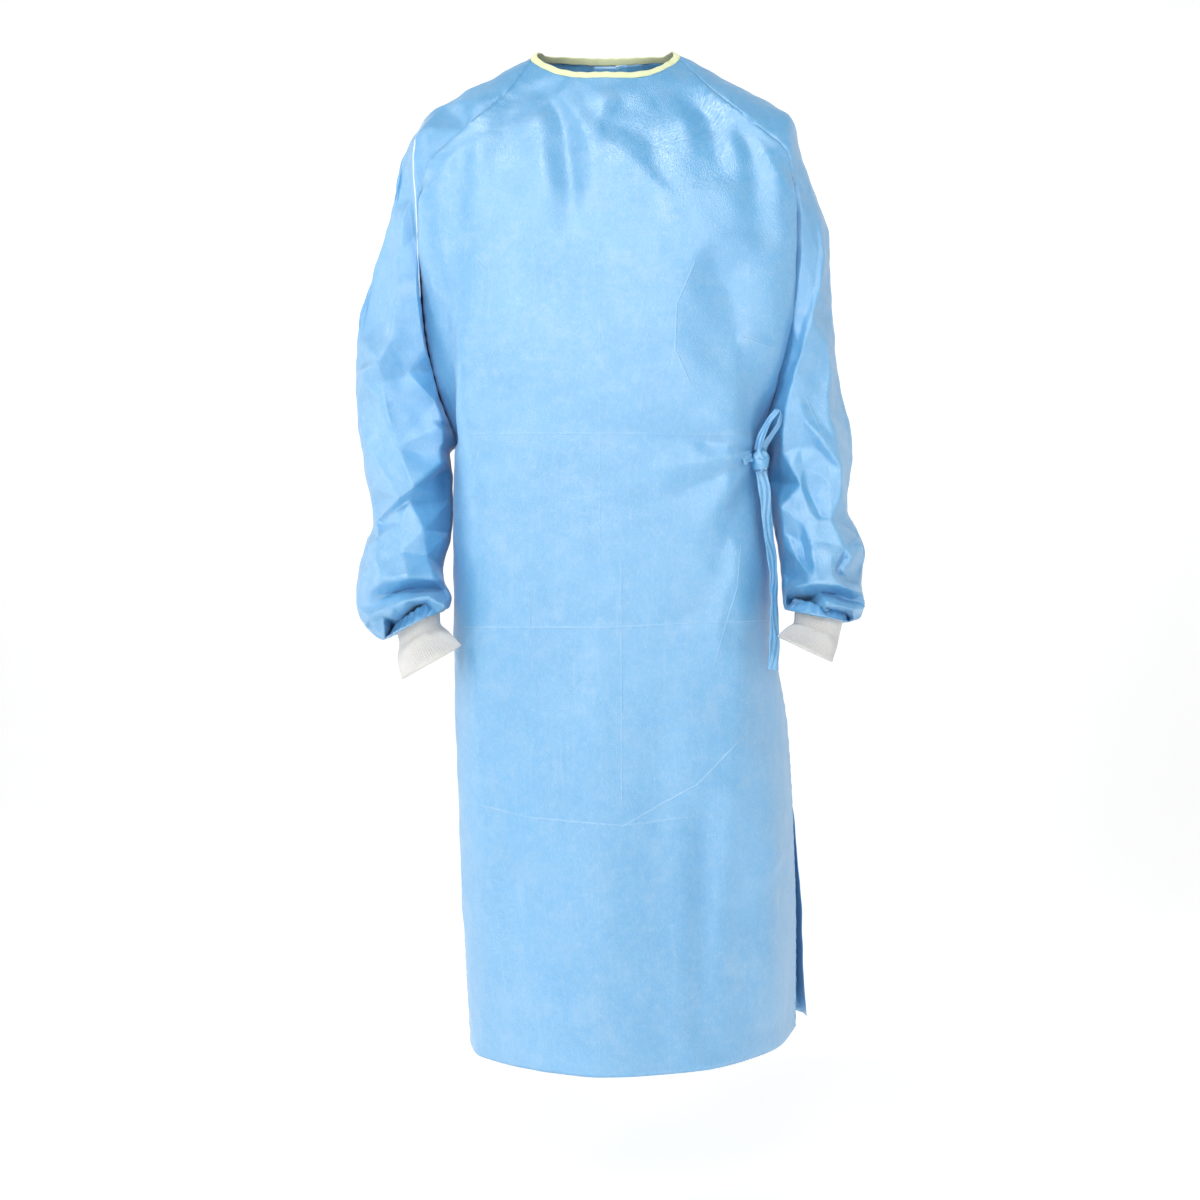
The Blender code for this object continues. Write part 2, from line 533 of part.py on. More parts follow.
def joined_normals(panels):
    """Normals of several grids, made equal where their points meet at a seam."""
    grids = [grid for grid, outward in panels]
    normals = [grid_normals(grid, outward) for grid, outward in panels]
    everything = np.concatenate([grid.reshape(-1, 3) for grid in grids])
    loose = np.concatenate([normal.reshape(-1, 3) for normal in normals])
    keys, where = np.unique(np.round(everything, 6), axis=0, return_inverse=True)
    total = np.zeros((len(keys), 3))
    np.add.at(total, where.reshape(-1), loose)
    total /= np.maximum(np.linalg.norm(total, axis=1, keepdims=True), 1e-9)
    shared = total[where.reshape(-1)]
    sizes = np.cumsum([grid.shape[0] * grid.shape[1] for grid in grids])[:-1]
    return [part.reshape(grid.shape) for part, grid in zip(np.split(shared, sizes), grids)]


def part_seam(first, second, first_column, second_column, rows):
    """Draws two panels (grid, shared normals, own normals) apart along the seam column they share.

    Each edge moves back by half the seam gap. Where the panels meet in a narrow V their walls
    also move in by half a wall, each behind its own face, so that neither enters the other.
    """
    pull, own = [], []
    for (grid, shared, normal), column in ((first, first_column), (second, second_column)):
        inside = 1 if column == 0 else -2
        step = grid[rows, inside] - grid[rows, column]
        pull.append(step / np.linalg.norm(step, axis=-1, keepdims=True))
        own.append(normal[rows, inside])
    narrow = 1 - ease(-0.2, 0.5, (own[0] * own[1]).sum(axis=-1, keepdims=True))
    spread = np.sqrt((1 - (pull[0] * pull[1]).sum(axis=-1, keepdims=True)) / 2)
    for k, ((grid, shared, normal), column) in enumerate(((first, first_column), (second, second_column))):
        step = 1 if column == 0 else -1
        shared[rows, column] += narrow * (own[k] - shared[rows, column])
        shared[rows, column] /= np.linalg.norm(shared[rows, column], axis=-1, keepdims=True)
        for near, part in enumerate((1.0, 1.0, 0.5)):
            where = column + step * near
            grid[rows, where] -= narrow * part * (CLOTH + SEAM_GAP) / 2 * own[k]
        grid[rows, column] += pull[k] * SEAM_GAP / 2 / np.maximum(spread ** 3, 0.1)


def strip(name, columns, width, thick, steps, look):
    """A flat strip along a table's middle line, its face looking the way that the table says."""
    at = np.linspace(0, len(columns["x"]) - 1, steps)
    line = np.stack([read(columns, axis, at) for axis in "xyz"], axis=-1)
    face = np.stack([read(columns, "face_" + axis, at) for axis in "xyz"], axis=-1)
    return strip_on(name, line, face, width, thick, look)


def strip_on(name, line, face, width, thick, look):
    along = np.gradient(line, axis=0)
    along /= np.linalg.norm(along, axis=1, keepdims=True)
    side = np.cross(along, face)
    side /= np.linalg.norm(side, axis=1, keepdims=True)
    out = np.cross(side, along)
    corners = [(-1, 1), (-1, -1), (1, -1), (1, 1)]
    rings = np.stack([line + side * (a * width / 2) + out * (b * thick / 2) for a, b in corners], axis=1)
    count = len(line)
    faces = []
    for i in range(count - 1):
        for j in range(4):
            k = (j + 1) % 4
            faces.append((i * 4 + j, i * 4 + 4 + j, i * 4 + 4 + k, i * 4 + k))
    faces.append((0, 1, 2, 3))
    last = (count - 1) * 4
    faces.append((last + 3, last + 2, last + 1, last))
    return new_object(name, rings.reshape(-1, 3), faces, look)


# ---------------------------------------------------------------- building the gown
for old in list(bpy.data.objects):
    bpy.data.objects.remove(old)

blue = material("gown_cloth", BLUE, 0.55)
white = material("cuff_knit", WHITE, 0.85)
yellow = material("binding_cloth", YELLOW, 0.7)

yoke_rows = np.linspace(0, UNDERARM, YOKE_STEPS + 1)
skirt_rows = np.linspace(UNDERARM, HEM, SKIRT_STEPS + 1)
body_rows = np.append(yoke_rows, skirt_rows[1:])
arm_rows = np.linspace(UNDERARM, UNDERARM + len(ARM_RIGHT["y"]), SLEEVE_STEPS + 1)
sleeve_rows = np.append(yoke_rows, arm_rows[1:])

# Front panel, between the two raglan seams and the two side seams.
front_u = np.linspace(0, 1, FRONT_COLUMNS)
front_grid = folded(front_points(body_rows, front_u), 1, -1, BODY_FRONT_FOLDS,
                    side_fade(FRONT_COLUMNS, 0.10))

# Outer back: from the wearer's right side seam round to its free edge on the left.
share = np.linspace(0, 1, BACK_COLUMNS)[None, :]
outer_v = share * read(BACK, "outer_to", body_rows)[:, None]
back_fade = np.clip((1 - np.abs(2 * outer_v - 1)) / 0.14, 0, 1)
outer_grid = folded(back_points(body_rows, outer_v), -1, 1, BODY_BACK_FOLDS, back_fade)
lift = LAP * ease(0.06, 0.24, outer_v)
lift += HEM_FLARE * ease(0.80, 1.0, share) * ease(11, HEM, body_rows)[:, None]
outer_grid = outer_grid + grid_normals(outer_grid, -1) * lift[..., None]

# Inner back: from its free edge under the outer one to the wearer's left side seam.
start = read(BACK, "inner_from", body_rows)[:, None]
inner_v = start + share * (1 - start)
cover = read(BACK, "outer_to", body_rows)[:, None]
bare = ease(cover + 0.01, cover + 0.07, inner_v)
inner_grid = folded(back_points(body_rows, inner_v), -1, 1, BODY_BACK_FOLDS,
                    bare * np.clip((1 - np.abs(2 * inner_v - 1)) / 0.14, 0, 1))
inner_grid = inner_grid - grid_normals(inner_grid, -1) * (TUCK * (1 - bare))[..., None]

# Sleeves: raglan, each from its front seam round to its back seam, and a tube below the underarm.
turn = np.linspace(0, 1, SLEEVE_COLUMNS)
sleeve_fade = side_fade(SLEEVE_COLUMNS, 0.12)
mirrored = dict(SLEEVE_BACK_FOLDS, from_x=-SLEEVE_BACK_FOLDS["from_x"], to_x=-SLEEVE_BACK_FOLDS["to_x"])
right_grid = folded(sleeve_points(-1, sleeve_rows, turn), -1, -1, SLEEVE_RIGHT_FRONT_FOLDS, sleeve_fade)
right_grid = folded(right_grid, -1, 1, mirrored, sleeve_fade)
left_grid = folded(sleeve_points(1, sleeve_rows, turn), 1, -1, SLEEVE_LEFT_FRONT_FOLDS, sleeve_fade)
left_grid = folded(left_grid, 1, 1, SLEEVE_BACK_FOLDS, sleeve_fade)

sides_out = [(front_grid, 1), (outer_grid, -1), (inner_grid, -1), (right_grid, -1), (left_grid, 1)]
normals = joined_normals(sides_out)
panels = [(grid.copy(), normal.copy(), grid_normals(grid, outward))
          for (grid, outward), normal in zip(sides_out, normals)]
front, outer, inner, right, left = panels
raglan = slice(0, YOKE_STEPS + 1)
side_seam = slice(YOKE_STEPS, None)
part_seam(front, right, 0, 0, raglan)
part_seam(front, left, -1, 0, raglan)
part_seam(outer, right, 0, -1, raglan)
part_seam(inner, left, -1, -1, raglan)
part_seam(front, outer, 0, 0, side_seam)
part_seam(front, inner, -1, -1, side_seam)
wall("front_panel", *front[:2], 1, CLOTH, blue)
wall("back_panel_outer", *outer[:2], -1, CLOTH, blue)
wall("back_panel_inner", *inner[:2], -1, CLOTH, blue)
wall("sleeve_right", *right[:2], -1, CLOTH, blue, YOKE_STEPS)
wall("sleeve_left", *left[:2], 1, CLOTH, blue, YOKE_STEPS)


def tube_points(columns, at, turn):
    """A tube through rings given by their inner and outer points, middle in Y and half depth."""
    col = {name: read(columns, name, at)[:, None] for name in columns}
    a = np.pi * turn[None, :]
    across = np.sin(a) ** 2
    return points(col["inner_x"] + (col["outer_x"] - col["inner_x"]) * across,
                  col["y"] - col["depth"] * np.sin(2 * a),
                  col["inner_z"] + (col["outer_z"] - col["inner_z"]) * across)


# Cuffs: knitted tubes, their tops just inside the sleeve ends.
cuff_turn = np.linspace(0, 1, SLEEVE_COLUMNS)
for name, columns, outward in (("cuff_right", CUFF_RIGHT, -1), ("cuff_left", CUFF_LEFT, 1)):
    rings = tube_points(columns, np.linspace(0, 4, 9), cuff_turn)
    ring_normals = grid_normals(rings, outward)
    ring_normals[:, 0] = ring_normals[:, 0] + ring_normals[:, -1]
    ring_normals[:, 0] /= np.linalg.norm(ring_normals[:, 0], axis=-1, keepdims=True)
    ring_normals[:, -1] = ring_normals[:, 0]
    wall(name, rings, ring_normals, outward, KNIT, white, -1)

# Neck binding: one folded strip that stands on the neck edge of every panel in turn.
edge_order = [(outer_grid, normals[1], -1), (right_grid, normals[3], -1), (front_grid, normals[0], 1),
              (left_grid, normals[4], 1), (inner_grid, normals[2], -1)]
top, rise, look_out = [], [], []
for grid, normal, order in edge_order:
    keep = slice(None, None, order)
    top.append(grid[0, keep])
    rise.append((grid[0] - grid[1])[keep])
    look_out.append(normal[0, keep])
top, rise, look_out = np.concatenate(top), np.concatenate(rise), np.concatenate(look_out)
new = np.append(True, np.linalg.norm(np.diff(top, axis=0), axis=1) > 1e-5)
top, rise, look_out = top[new], rise[new], look_out[new]
along = np.gradient(top, axis=0)
upright = np.cross(along, look_out)
upright *= np.sign((upright * rise).sum(axis=1, keepdims=True))
upright /= np.linalg.norm(upright, axis=1, keepdims=True)
for _ in range(2):
    upright[1:-1] = (upright[:-2] + 2 * upright[1:-1] + upright[2:]) / 4
upright /= np.linalg.norm(upright, axis=1, keepdims=True)
strip_on("neck_binding", top + upright * (BINDING_LIFT + BINDING_WIDTH / 2), look_out, BINDING_WIDTH,
         BINDING, yellow)

# Neck tab: hook-and-loop strip from the outer back over its free edge onto the inner back.
tab_off = CLOTH / 2 + 2 * SEAM_GAP + TAB / 2
over, under = outer_grid[:2, -4:].mean(axis=0), inner_grid[:2].mean(axis=0)
over_out, under_out = normals[1][:2, -4:].mean(axis=0), normals[2][:2].mean(axis=0)
beyond = under[:, 0] > over[-1, 0] + TAB_STEP
tab_line = np.concatenate([over + over_out * tab_off, (under + under_out * tab_off)[beyond][:3]])
tab_face = np.concatenate([over_out, under_out[beyond][:3]])
strip_on("neck_tab", tab_line, tab_face, TAB_WIDTH, TAB, blue)

# Knot of the waist ties: a small lumpy body just off the left front.
sides = np.linspace(0, 2 * np.pi, 13)[:-1]
levels = np.linspace(0, np.pi, 8)[1:-1]
lumps = 1 + KNOT_LUMP * np.sin(3 * sides + 1.0)[None, :] * np.cos(2 * levels)[:, None]
ring = points(KNOT_SIZE[0] * np.sin(levels)[:, None] * np.cos(sides) * lumps,
              KNOT_SIZE[1] * np.sin(levels)[:, None] * np.sin(sides) * lumps,
              KNOT_SIZE[2] * np.cos(levels)[:, None] * lumps)
body = np.concatenate([[[0, 0, KNOT_SIZE[2]]], ring.reshape(-1, 3), [[0, 0, -KNOT_SIZE[2]]]])
count = len(sides)
faces = []
for i in range(count):
    j = (i + 1) % count
    faces.append((0, 1 + i, 1 + j))
    faces.append((len(body) - 1, len(body) - 1 - count + j, len(body) - 1 - count + i))
    for level in range(len(levels) - 1):
        a = 1 + level * count
        faces.append((a + i, a + count + i, a + count + j, a + j))
new_object("tie_knot", body + np.array(KNOT_AT), faces, blue)

strip("tie_loop", TIE_LOOP, TIE_WIDTH * 0.7, CLOTH, 19, blue)
strip("tie_tail", TIE_TAIL, TIE_WIDTH, CLOTH, 17, blue)
strip("tie_stub", TIE_STUB, TIE_WIDTH, CLOTH, 4, blue)

# The tie from the outer back's free edge runs forward under the left arm to the knot.
level = np.array([-0.1, 0, 0.1]) + TIE_BACK_LEVEL
behind = TIE_BACK["on_front"] == 0
back_share = np.tile(TIE_BACK["share"][behind], (3, 1))
back_line = back_points(level, back_share)
front_line = front_points(level, TIE_BACK["share"][~behind][::-1])
back_out = grid_normals(back_line, -1)[1]
front_out = grid_normals(front_line, 1)[1][::-1]
tie_face = np.concatenate([back_out, front_out])
tie_line = np.concatenate([back_line[1], front_line[1][::-1]]) + tie_face * TIE_BACK["off"][:, None]
strip_on("tie_back", tie_line, tie_face, TIE_WIDTH, CLOTH, blue)
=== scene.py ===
"""Disposable surgical gown as it is worn: nonwoven cloth, knitted cuffs, bound neck and knotted waist tie.

Metres, +Z up, the wearer faces -Y. The sections follow the gown as it is sewn together.
"""

import bpy
import numpy as np
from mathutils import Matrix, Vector
from mathutils.geometry import delaunay_2d_cdt


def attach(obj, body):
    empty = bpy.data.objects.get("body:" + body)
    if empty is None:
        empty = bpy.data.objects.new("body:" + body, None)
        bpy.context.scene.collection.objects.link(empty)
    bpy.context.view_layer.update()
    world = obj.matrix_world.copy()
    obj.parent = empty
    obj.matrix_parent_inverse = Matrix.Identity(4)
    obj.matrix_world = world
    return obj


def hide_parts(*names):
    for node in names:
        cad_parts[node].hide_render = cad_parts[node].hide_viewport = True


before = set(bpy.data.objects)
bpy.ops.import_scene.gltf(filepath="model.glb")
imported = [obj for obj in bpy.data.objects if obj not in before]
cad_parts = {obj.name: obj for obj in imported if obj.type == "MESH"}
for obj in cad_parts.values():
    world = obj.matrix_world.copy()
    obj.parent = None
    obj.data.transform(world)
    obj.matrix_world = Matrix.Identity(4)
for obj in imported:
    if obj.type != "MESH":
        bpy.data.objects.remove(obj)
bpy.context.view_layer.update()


# ---------------------------------------------------------------- front panel
# One piece of pale blue spunbonded nonwoven, cut with a raglan armhole at each side. It hangs from
# the neck binding and the two raglan seams, and keeps the creases of the pack it was folded in.
CLOTH_THICK = 0.0008
FRONT_COLUMNS = 141     # grid points across the front
YOKE_STEPS = 140        # grid steps from the neck to the underarm
SKIRT_STEPS = 192       # and from there to the hem
UNDERARM = 9            # section at the underarm
HEM = 16                # section at the hem
FOLD_GAIN = 1.3         # how much deeper folds at the front are than their tables say
SEAM_GROOVE = 0.0014    # depth of the groove on a seam
SEAM_GROOVE_WIDTH = 0.003
PUCKER_HEIGHT = 0.0007
PUCKER_PITCH = 0.017
PUCKER_REACH = 0.009    # how far from the seam the puckers die out
PUCKER_DRIFT = 0.11     # length over which their pitch wanders
SWELL_DEPTH = 0.0010    # unevenness of loose cloth, and the size of its swells
SWELL_SIZE = 0.075
WIDE_DEPTH = 0.0016     # the wide swells of the front
WIDE_SIZE = 0.21


def table(names, *rows):
    """Named columns of numbers, from one tuple a row."""
    return dict(zip(names.split(), np.array(rows, float).T))


FRONT = table(
    "station z y",
    (0, -0.038, -0.065), (1, -0.072, -0.086), (2, -0.106, -0.103), (3, -0.148, -0.117),
    (4, -0.190, -0.127), (5, -0.240, -0.135), (6, -0.330, -0.142), (7, -0.400, -0.145),
    (8, -0.448, -0.147), (9, -0.470, -0.147), (10, -0.520, -0.146), (11, -0.600, -0.147),
    (12, -0.700, -0.149), (13, -0.820, -0.152), (14, -0.940, -0.156), (15, -1.080, -0.161),
    (16, -1.212, -0.167),
)
FRONT_RIGHT = table(
    "chest_x chest_y edge_x edge_y seam_x seam_y seam_z",
    (-0.040, -0.057, -0.068, -0.041, -0.0905, -0.015, -0.007),
    (-0.063, -0.078, -0.096, -0.066, -0.120, -0.060, -0.056),
    (-0.088, -0.096, -0.138, -0.090, -0.165, -0.091, -0.101),
    (-0.115, -0.110, -0.186, -0.102, -0.2135, -0.090, -0.150),
    (-0.135, -0.119, -0.2205, -0.090, -0.220, -0.064, -0.190),
    (-0.146, -0.125, -0.2225, -0.082, -0.2235, -0.052, -0.240),
    (-0.158, -0.128, -0.186, -0.104, -0.2190, -0.038, -0.330),
    (-0.160, -0.129, -0.184, -0.092, -0.2060, -0.022, -0.400),
    (-0.158, -0.129, -0.181, -0.076, -0.1900, -0.007, -0.448),
    (-0.156, -0.128, -0.180, -0.060, -0.1820, 0.005, -0.470),
    (-0.152, -0.126, -0.1815, -0.040, -0.1800, 0.020, -0.520),
    (-0.152, -0.126, -0.1840, -0.036, -0.1820, 0.025, -0.600),
    (-0.150, -0.127, -0.1825, -0.034, -0.1810, 0.028, -0.700),
    (-0.146, -0.124, -0.1800, -0.034, -0.1790, 0.030, -0.820),
    (-0.138, -0.120, -0.1760, -0.032, -0.1775, 0.032, -0.940),
    (-0.122, -0.112, -0.1670, -0.030, -0.1735, 0.034, -1.080),
    (-0.106, -0.102, -0.1560, -0.028, -0.1670, 0.036, -1.206),
)
FRONT_LEFT = table(
    "chest_x chest_y edge_x edge_y seam_x seam_y seam_z",
    (0.043, -0.057, 0.071, -0.040, 0.0905, -0.012, -0.004),
    (0.066, -0.078, 0.100, -0.068, 0.125, -0.064, -0.050),
    (0.092, -0.096, 0.142, -0.090, 0.170, -0.091, -0.093),
    (0.117, -0.110, 0.190, -0.098, 0.218, -0.084, -0.136),
    (0.137, -0.120, 0.2260, -0.088, 0.2245, -0.068, -0.185),
    (0.148, -0.126, 0.2255, -0.087, 0.2230, -0.066, -0.240),
    (0.154, -0.131, 0.2205, -0.080, 0.2180, -0.060, -0.330),
    (0.153, -0.133, 0.2040, -0.070, 0.2075, -0.044, -0.400),
    (0.148, -0.134, 0.1870, -0.062, 0.1945, -0.024, -0.448),
    (0.145, -0.133, 0.1825, -0.054, 0.1885, 0.005, -0.470),
    (0.140, -0.131, 0.1830, -0.038, 0.1870, 0.025, -0.520),
    (0.146, -0.130, 0.1955, -0.030, 0.1985, 0.032, -0.600),
    (0.150, -0.129, 0.2015, -0.022, 0.2055, 0.045, -0.700),
    (0.148, -0.125, 0.2150, -0.010, 0.2275, 0.068, -0.820),
    (0.139, -0.125, 0.2180, -0.008, 0.2355, 0.078, -0.940),
    (0.126, -0.128, 0.2170, -0.004, 0.2400, 0.090, -1.080),
    (0.113, -0.131, 0.2080, -0.008, 0.2400, 0.100, -1.200),
)
# Places on the front are set as the camera sees them, in view units across and down from the upper
# left corner of its view. They become real places at the depth at which the cloth lies there.
VIEW_UNIT = 0.00122     # size of a view unit in metres at the depth of the neck
VIEW_MIDDLE = 600       # view units from the left edge of the view to its middle
VIEW_NECK = 57          # view units from the top of the view down to the neck
CAMERA_AWAY = 3.0       # from the camera to the depth of the neck
CAMERA_X = -0.0067
CAMERA_Z = -0.662
FRONT_DEPTH = -0.14     # where the front's folds and creases lie
CHEST_DEPTH = -0.12     # where its facets lie


def seen(across, down, depth):
    """Real x and z of a place in the view, whose units grow with (camera away + depth) / camera away."""
    growth = (CAMERA_AWAY + depth) / CAMERA_AWAY
    x = CAMERA_X + (across - VIEW_MIDDLE) * VIEW_UNIT * growth
    z = CAMERA_Z + ((VIEW_NECK - down) * VIEW_UNIT - CAMERA_Z) * growth
    return x, z


def ends_seen(names, depth, *rows):
    """A table of rows that run from one place in the view to another, with both ends' x and z added."""
    columns = table(names, *rows)
    for end in ("from_", "to_"):
        columns[end + "x"], columns[end + "z"] = seen(columns[end + "across"], columns[end + "down"], depth)
    return columns


def runs_seen(names, depth, *runs):
    """A table of the corners of all runs, with each corner's x and z and its run's number added."""
    columns = table(names, *(corner for run in runs for corner in run))
    columns["crease"] = np.repeat(np.arange(len(runs)), [len(run) for run in runs])
    columns["x"], columns["z"] = seen(columns["across"], columns["down"], depth)
    return columns


# Folds run from one point to another as seen from the front, bow out sideways in between, and have
# a width and a depth. Sharpness 1 gives a crease and 2 a soft trough; skew makes one side steeper.
FOLD_COLUMNS = "from_x from_z to_x to_z bow width depth sharp skew"
SEEN_FOLD_COLUMNS = "from_across from_down to_across to_down bow width depth sharp skew"
BODY_FOLDS = ends_seen(
    SEEN_FOLD_COLUMNS, FRONT_DEPTH,
    # small dents of the chest
    (742, 335, 776, 346, 0, 0.006, -0.0020, 1.2, 0),
    (532, 222, 550, 282, 0.004, 0.008, -0.0016, 1.2, 0),
    (474, 252, 496, 278, 0, 0.008, -0.0016, 1.2, 0),
    # below the knot and beside it
    (742, 545, 716, 664, 0.007, 0.010, -0.0030, 1.3, 0),
    (528, 586, 531, 676, 0, 0.014, -0.0020, 1.8, 0),
    (470, 500, 474, 640, 0, 0.014, 0.0030, 2.0, 0),
    # soft fall of the skirt
    (500, 690, 506, 1040, 0, 0.026, 0.0050, 2.0, 0),
    (598, 640, 600, 1064, 0, 0.030, -0.0040, 2.0, 0),
    (664, 700, 660, 1060, 0, 0.024, 0.0030, 2.0, 0),
    (708, 800, 708, 1056, 0, 0.022, 0.0080, 2.0, 0),
    (768, 760, 772, 1034, 0, 0.020, -0.0070, 2.0, 0),
    (740, 860, 742, 1048, 0, 0.014, 0.0020, 2.0, 0),
    (782, 856, 754, 889, 0, 0.009, -0.0030, 1.2, 0),
)

# Crumpled cloth is flat facets between creases. Each crease is a run of places with how far each
# stands out of the smooth cloth, and along the outline the cloth is smooth again.
CRUMPLE_COLUMNS = "across down out"
BODY_CRUMPLE = runs_seen(
    CRUMPLE_COLUMNS, CHEST_DEPTH,
    # fold from the right of the neck
    [(537, 70, -0.001), (548, 84, -0.004), (558, 104, -0.007), (564, 128, -0.009), (568, 155, -0.010),
     (571, 185, -0.009), (572, 215, -0.005), (574, 238, 0)],
    [(526, 78, 0), (533, 100, 0.002), (540, 130, 0.002), (545, 165, 0.002), (550, 205, 0.002),
     (556, 240, 0.001)],
    [(560, 86, 0), (577, 110, 0.001), (588, 140, 0.002), (594, 180, 0.002), (596, 220, 0.001)],
    # hollow inside the right raglan seam
    [(512, 90, -0.001), (507, 115, -0.003), (500, 150, -0.004), (497, 185, -0.004), (495, 220, -0.002)],
    [(490, 112, 0.001), (479, 140, 0.004), (474, 180, 0.004), (472, 220, 0.002)],
    # fold beside the right shoulder
    [(464, 136, -0.002), (461, 165, -0.005), (458, 200, -0.006), (455, 235, -0.005),
     (452, 275, -0.003), (450, 310, -0.001)],
    [(447, 160, 0.002), (441, 190, 0.003), (438, 230, 0.003), (436, 280, 0.001)],
    # folds from the middle of the neck
    [(640, 82, -0.001), (623, 98, -0.004), (611, 115, -0.003), (604, 126, -0.001)],
    [(619, 84, 0.001), (604, 98, 0.003), (592, 104, 0)],
    # edge that runs across to the left
    [(597, 117, 0.001), (608, 138, 0.002), (624, 152, 0.003), (641, 168, 0.003), (656, 186, 0.003),
     (678, 196, 0.001)],
    # folds from the left of the neck
    [(661, 82, -0.001), (657, 110, -0.003), (652, 138, -0.004), (655, 160, -0.003), (664, 178, -0.001)],
    [(677, 90, 0), (684, 120, 0.003), (690, 150, 0.003), (694, 185, 0.001)],
    [(701, 96, 0), (706, 108, -0.003), (716, 135, -0.003), (722, 165, -0.002)],
    [(722, 106, 0), (732, 130, 0.003), (738, 165, 0.004), (738, 205, 0.003), (735, 235, 0.001)],
    # fold beside the left shoulder
    [(746, 128, -0.002), (754, 150, -0.005), (758, 185, -0.007), (758, 220, -0.006), (761, 258, -0.003)],
    [(764, 140, 0.001), (774, 170, 0.004), (780, 210, 0.004), (782, 250, 0.002)],
    # edge of the hollow of the left chest
    [(745, 240, 0.002), (722, 244, 0.005), (706, 249, 0.007), (694, 259, 0.007), (684, 290, 0.005),
     (675, 320, 0.005), (673, 350, 0.004), (684, 375, 0.004), (700, 400, 0.002)],
    # hollow of the left chest
    [(714, 262, -0.009), (730, 282, -0.013), (742, 318, -0.014), (748, 350, -0.012),
     (750, 385, -0.008), (746, 412, -0.004)],
    # outside the hollow
    [(770, 272, 0.002), (776, 310, 0.003), (779, 350, 0.003), (776, 390, 0.001)],
    # pulls that run to the knot
    [(744, 440, 0.002), (722, 427, 0.004), (700, 418, 0.002)],
    [(743, 447, -0.003), (715, 444, -0.008), (682, 440, -0.006), (650, 440, -0.002)],
    [(743, 454, 0.003), (710, 461, 0.004), (672, 467, 0.003), (640, 475, 0)],
    [(744, 461, -0.003), (716, 478, -0.007), (686, 491, -0.005), (658, 505, -0.001)],
    [(746, 468, 0.003), (726, 495, 0.004), (706, 520, 0.003), (690, 550, 0)],
    [(749, 475, -0.003), (738, 505, -0.008), (729, 545, -0.007), (723, 590, -0.003)],
    [(753, 485, 0.002), (750, 522, 0.003), (747, 570, 0.003), (742, 620, 0.001)],
    # front of the right side
    [(459, 330, 0.003), (460, 370, 0.005), (460, 410, 0.005), (461, 450, 0.003)],
    # side behind it
    [(440, 300, -0.005), (443, 345, -0.009), (446, 390, -0.010), (450, 432, -0.006)],
    # nearly flat between the folds
    [(612, 200, 0), (606, 262, 0.001)],
    [(560, 300, -0.001), (540, 360, 0)],
    [(640, 300, 0.001), (636, 385, 0.002)],
    [(480, 330, 0), (472, 420, -0.001)],
    [(600, 430, 0), (580, 520, 0.001)],
    [(500, 500, 0), (498, 600, 0.001)],
    [(640, 560, 0.001), (660, 640, 0)],
)
# The outline at which the front's facets end, on both sides.
BODY_OUTLINE = [(side * x, z) for x, z in (
    (0.040, -0.030), (0.100, -0.050), (0.165, -0.095), (0.215, -0.150), (0.222, -0.240), (0.218, -0.330),
    (0.200, -0.420), (0.188, -0.480), (0.190, -0.560), (0.192, -0.640), (0.170, -0.720), (0.060, -0.720))
    for side in (-1, 1)]
BODY_SOFTNESS = 2.1     # grid points over which the front's facets are blurred
FACES_FRONT = -0.05     # a point counts as front where its normal's y is below this
RIM_LEVELS = 17         # rows of corners down a sleeve's outline
RIM_POINTS = 7          # corners across its top and end

# Creases that the pack pressed into the cloth: from one place to another, and how strong.
CREASE_REACH = 0.0017   # how far a crease's pale line reaches to each side
CREASE_COLUMNS = "from_x from_z to_x to_z strength"
SEEN_CREASE_COLUMNS = "from_across from_down to_across to_down strength"
FRONT_CREASES = ends_seen(
    SEEN_CREASE_COLUMNS, FRONT_DEPTH,
    # across the gown where it was folded over
    (464, 627, 610, 627, 0.8), (610, 627, 719, 621, 0.8), (719, 621, 770, 620, 0.5),
    (478, 807, 529, 817, 0.9), (529, 817, 624, 824, 0.9), (624, 824, 695, 816, 0.7),
    (622, 825, 698, 784, 1.0), (698, 784, 751, 731, 1.0), (470, 433, 740, 434, 0.45),
    # down its middle
    (621, 560, 622, 800, 0.6), (599, 240, 600, 560, 0.5), (598, 820, 600, 1066, 0.4),
    # short ones round the knot and on the chest
    (742, 545, 738, 588, 0.7), (738, 588, 728, 620, 0.7), (728, 620, 714, 666, 0.7),
    (528, 586, 532, 671, 0.6), (532, 222, 536, 254, 0.7), (536, 254, 550, 281, 0.7),
    (695, 262, 677, 303, 0.8), (677, 303, 675, 349, 0.8), (675, 349, 691, 385, 0.7),
    (743, 335, 775, 345, 0.8), (475, 254, 495, 276, 0.6), (782, 856, 754, 889, 0.6),
)


def smooth(at, stations, values):
    """Monotone cubic through values (last axis) at rising stations, with no overshoot."""
    at = np.asarray(at, float)
    stations = np.asarray(stations, float)
    values = np.asarray(values, float)
    step = np.diff(stations)
    slope = np.diff(values, axis=-1) / step
    tangent = np.zeros_like(values)
    before, after = slope[..., :-1], slope[..., 1:]
    same = before * after > 0
    first = 2 * step[1:] + step[:-1]
    second = step[1:] + 2 * step[:-1]
    safe_before = np.where(same, before, 1)
    safe_after = np.where(same, after, 1)
    harmonic = (first + second) / (first / safe_before + second / safe_after)
    tangent[..., 1:-1] = np.where(same, harmonic, 0)
    tangent[..., 0] = slope[..., 0]
    tangent[..., -1] = slope[..., -1]
    i = np.clip(np.searchsorted(stations, at, side="right") - 1, 0, len(step) - 1)
    h = step[i]
    t = (at - stations[i]) / h
    return (
        values[..., i] * (1 + 2 * t) * (1 - t) ** 2
        + tangent[..., i] * h * t * (1 - t) ** 2
        + values[..., i + 1] * t ** 2 * (3 - 2 * t)
        + tangent[..., i + 1] * h * t ** 2 * (t - 1)
    )


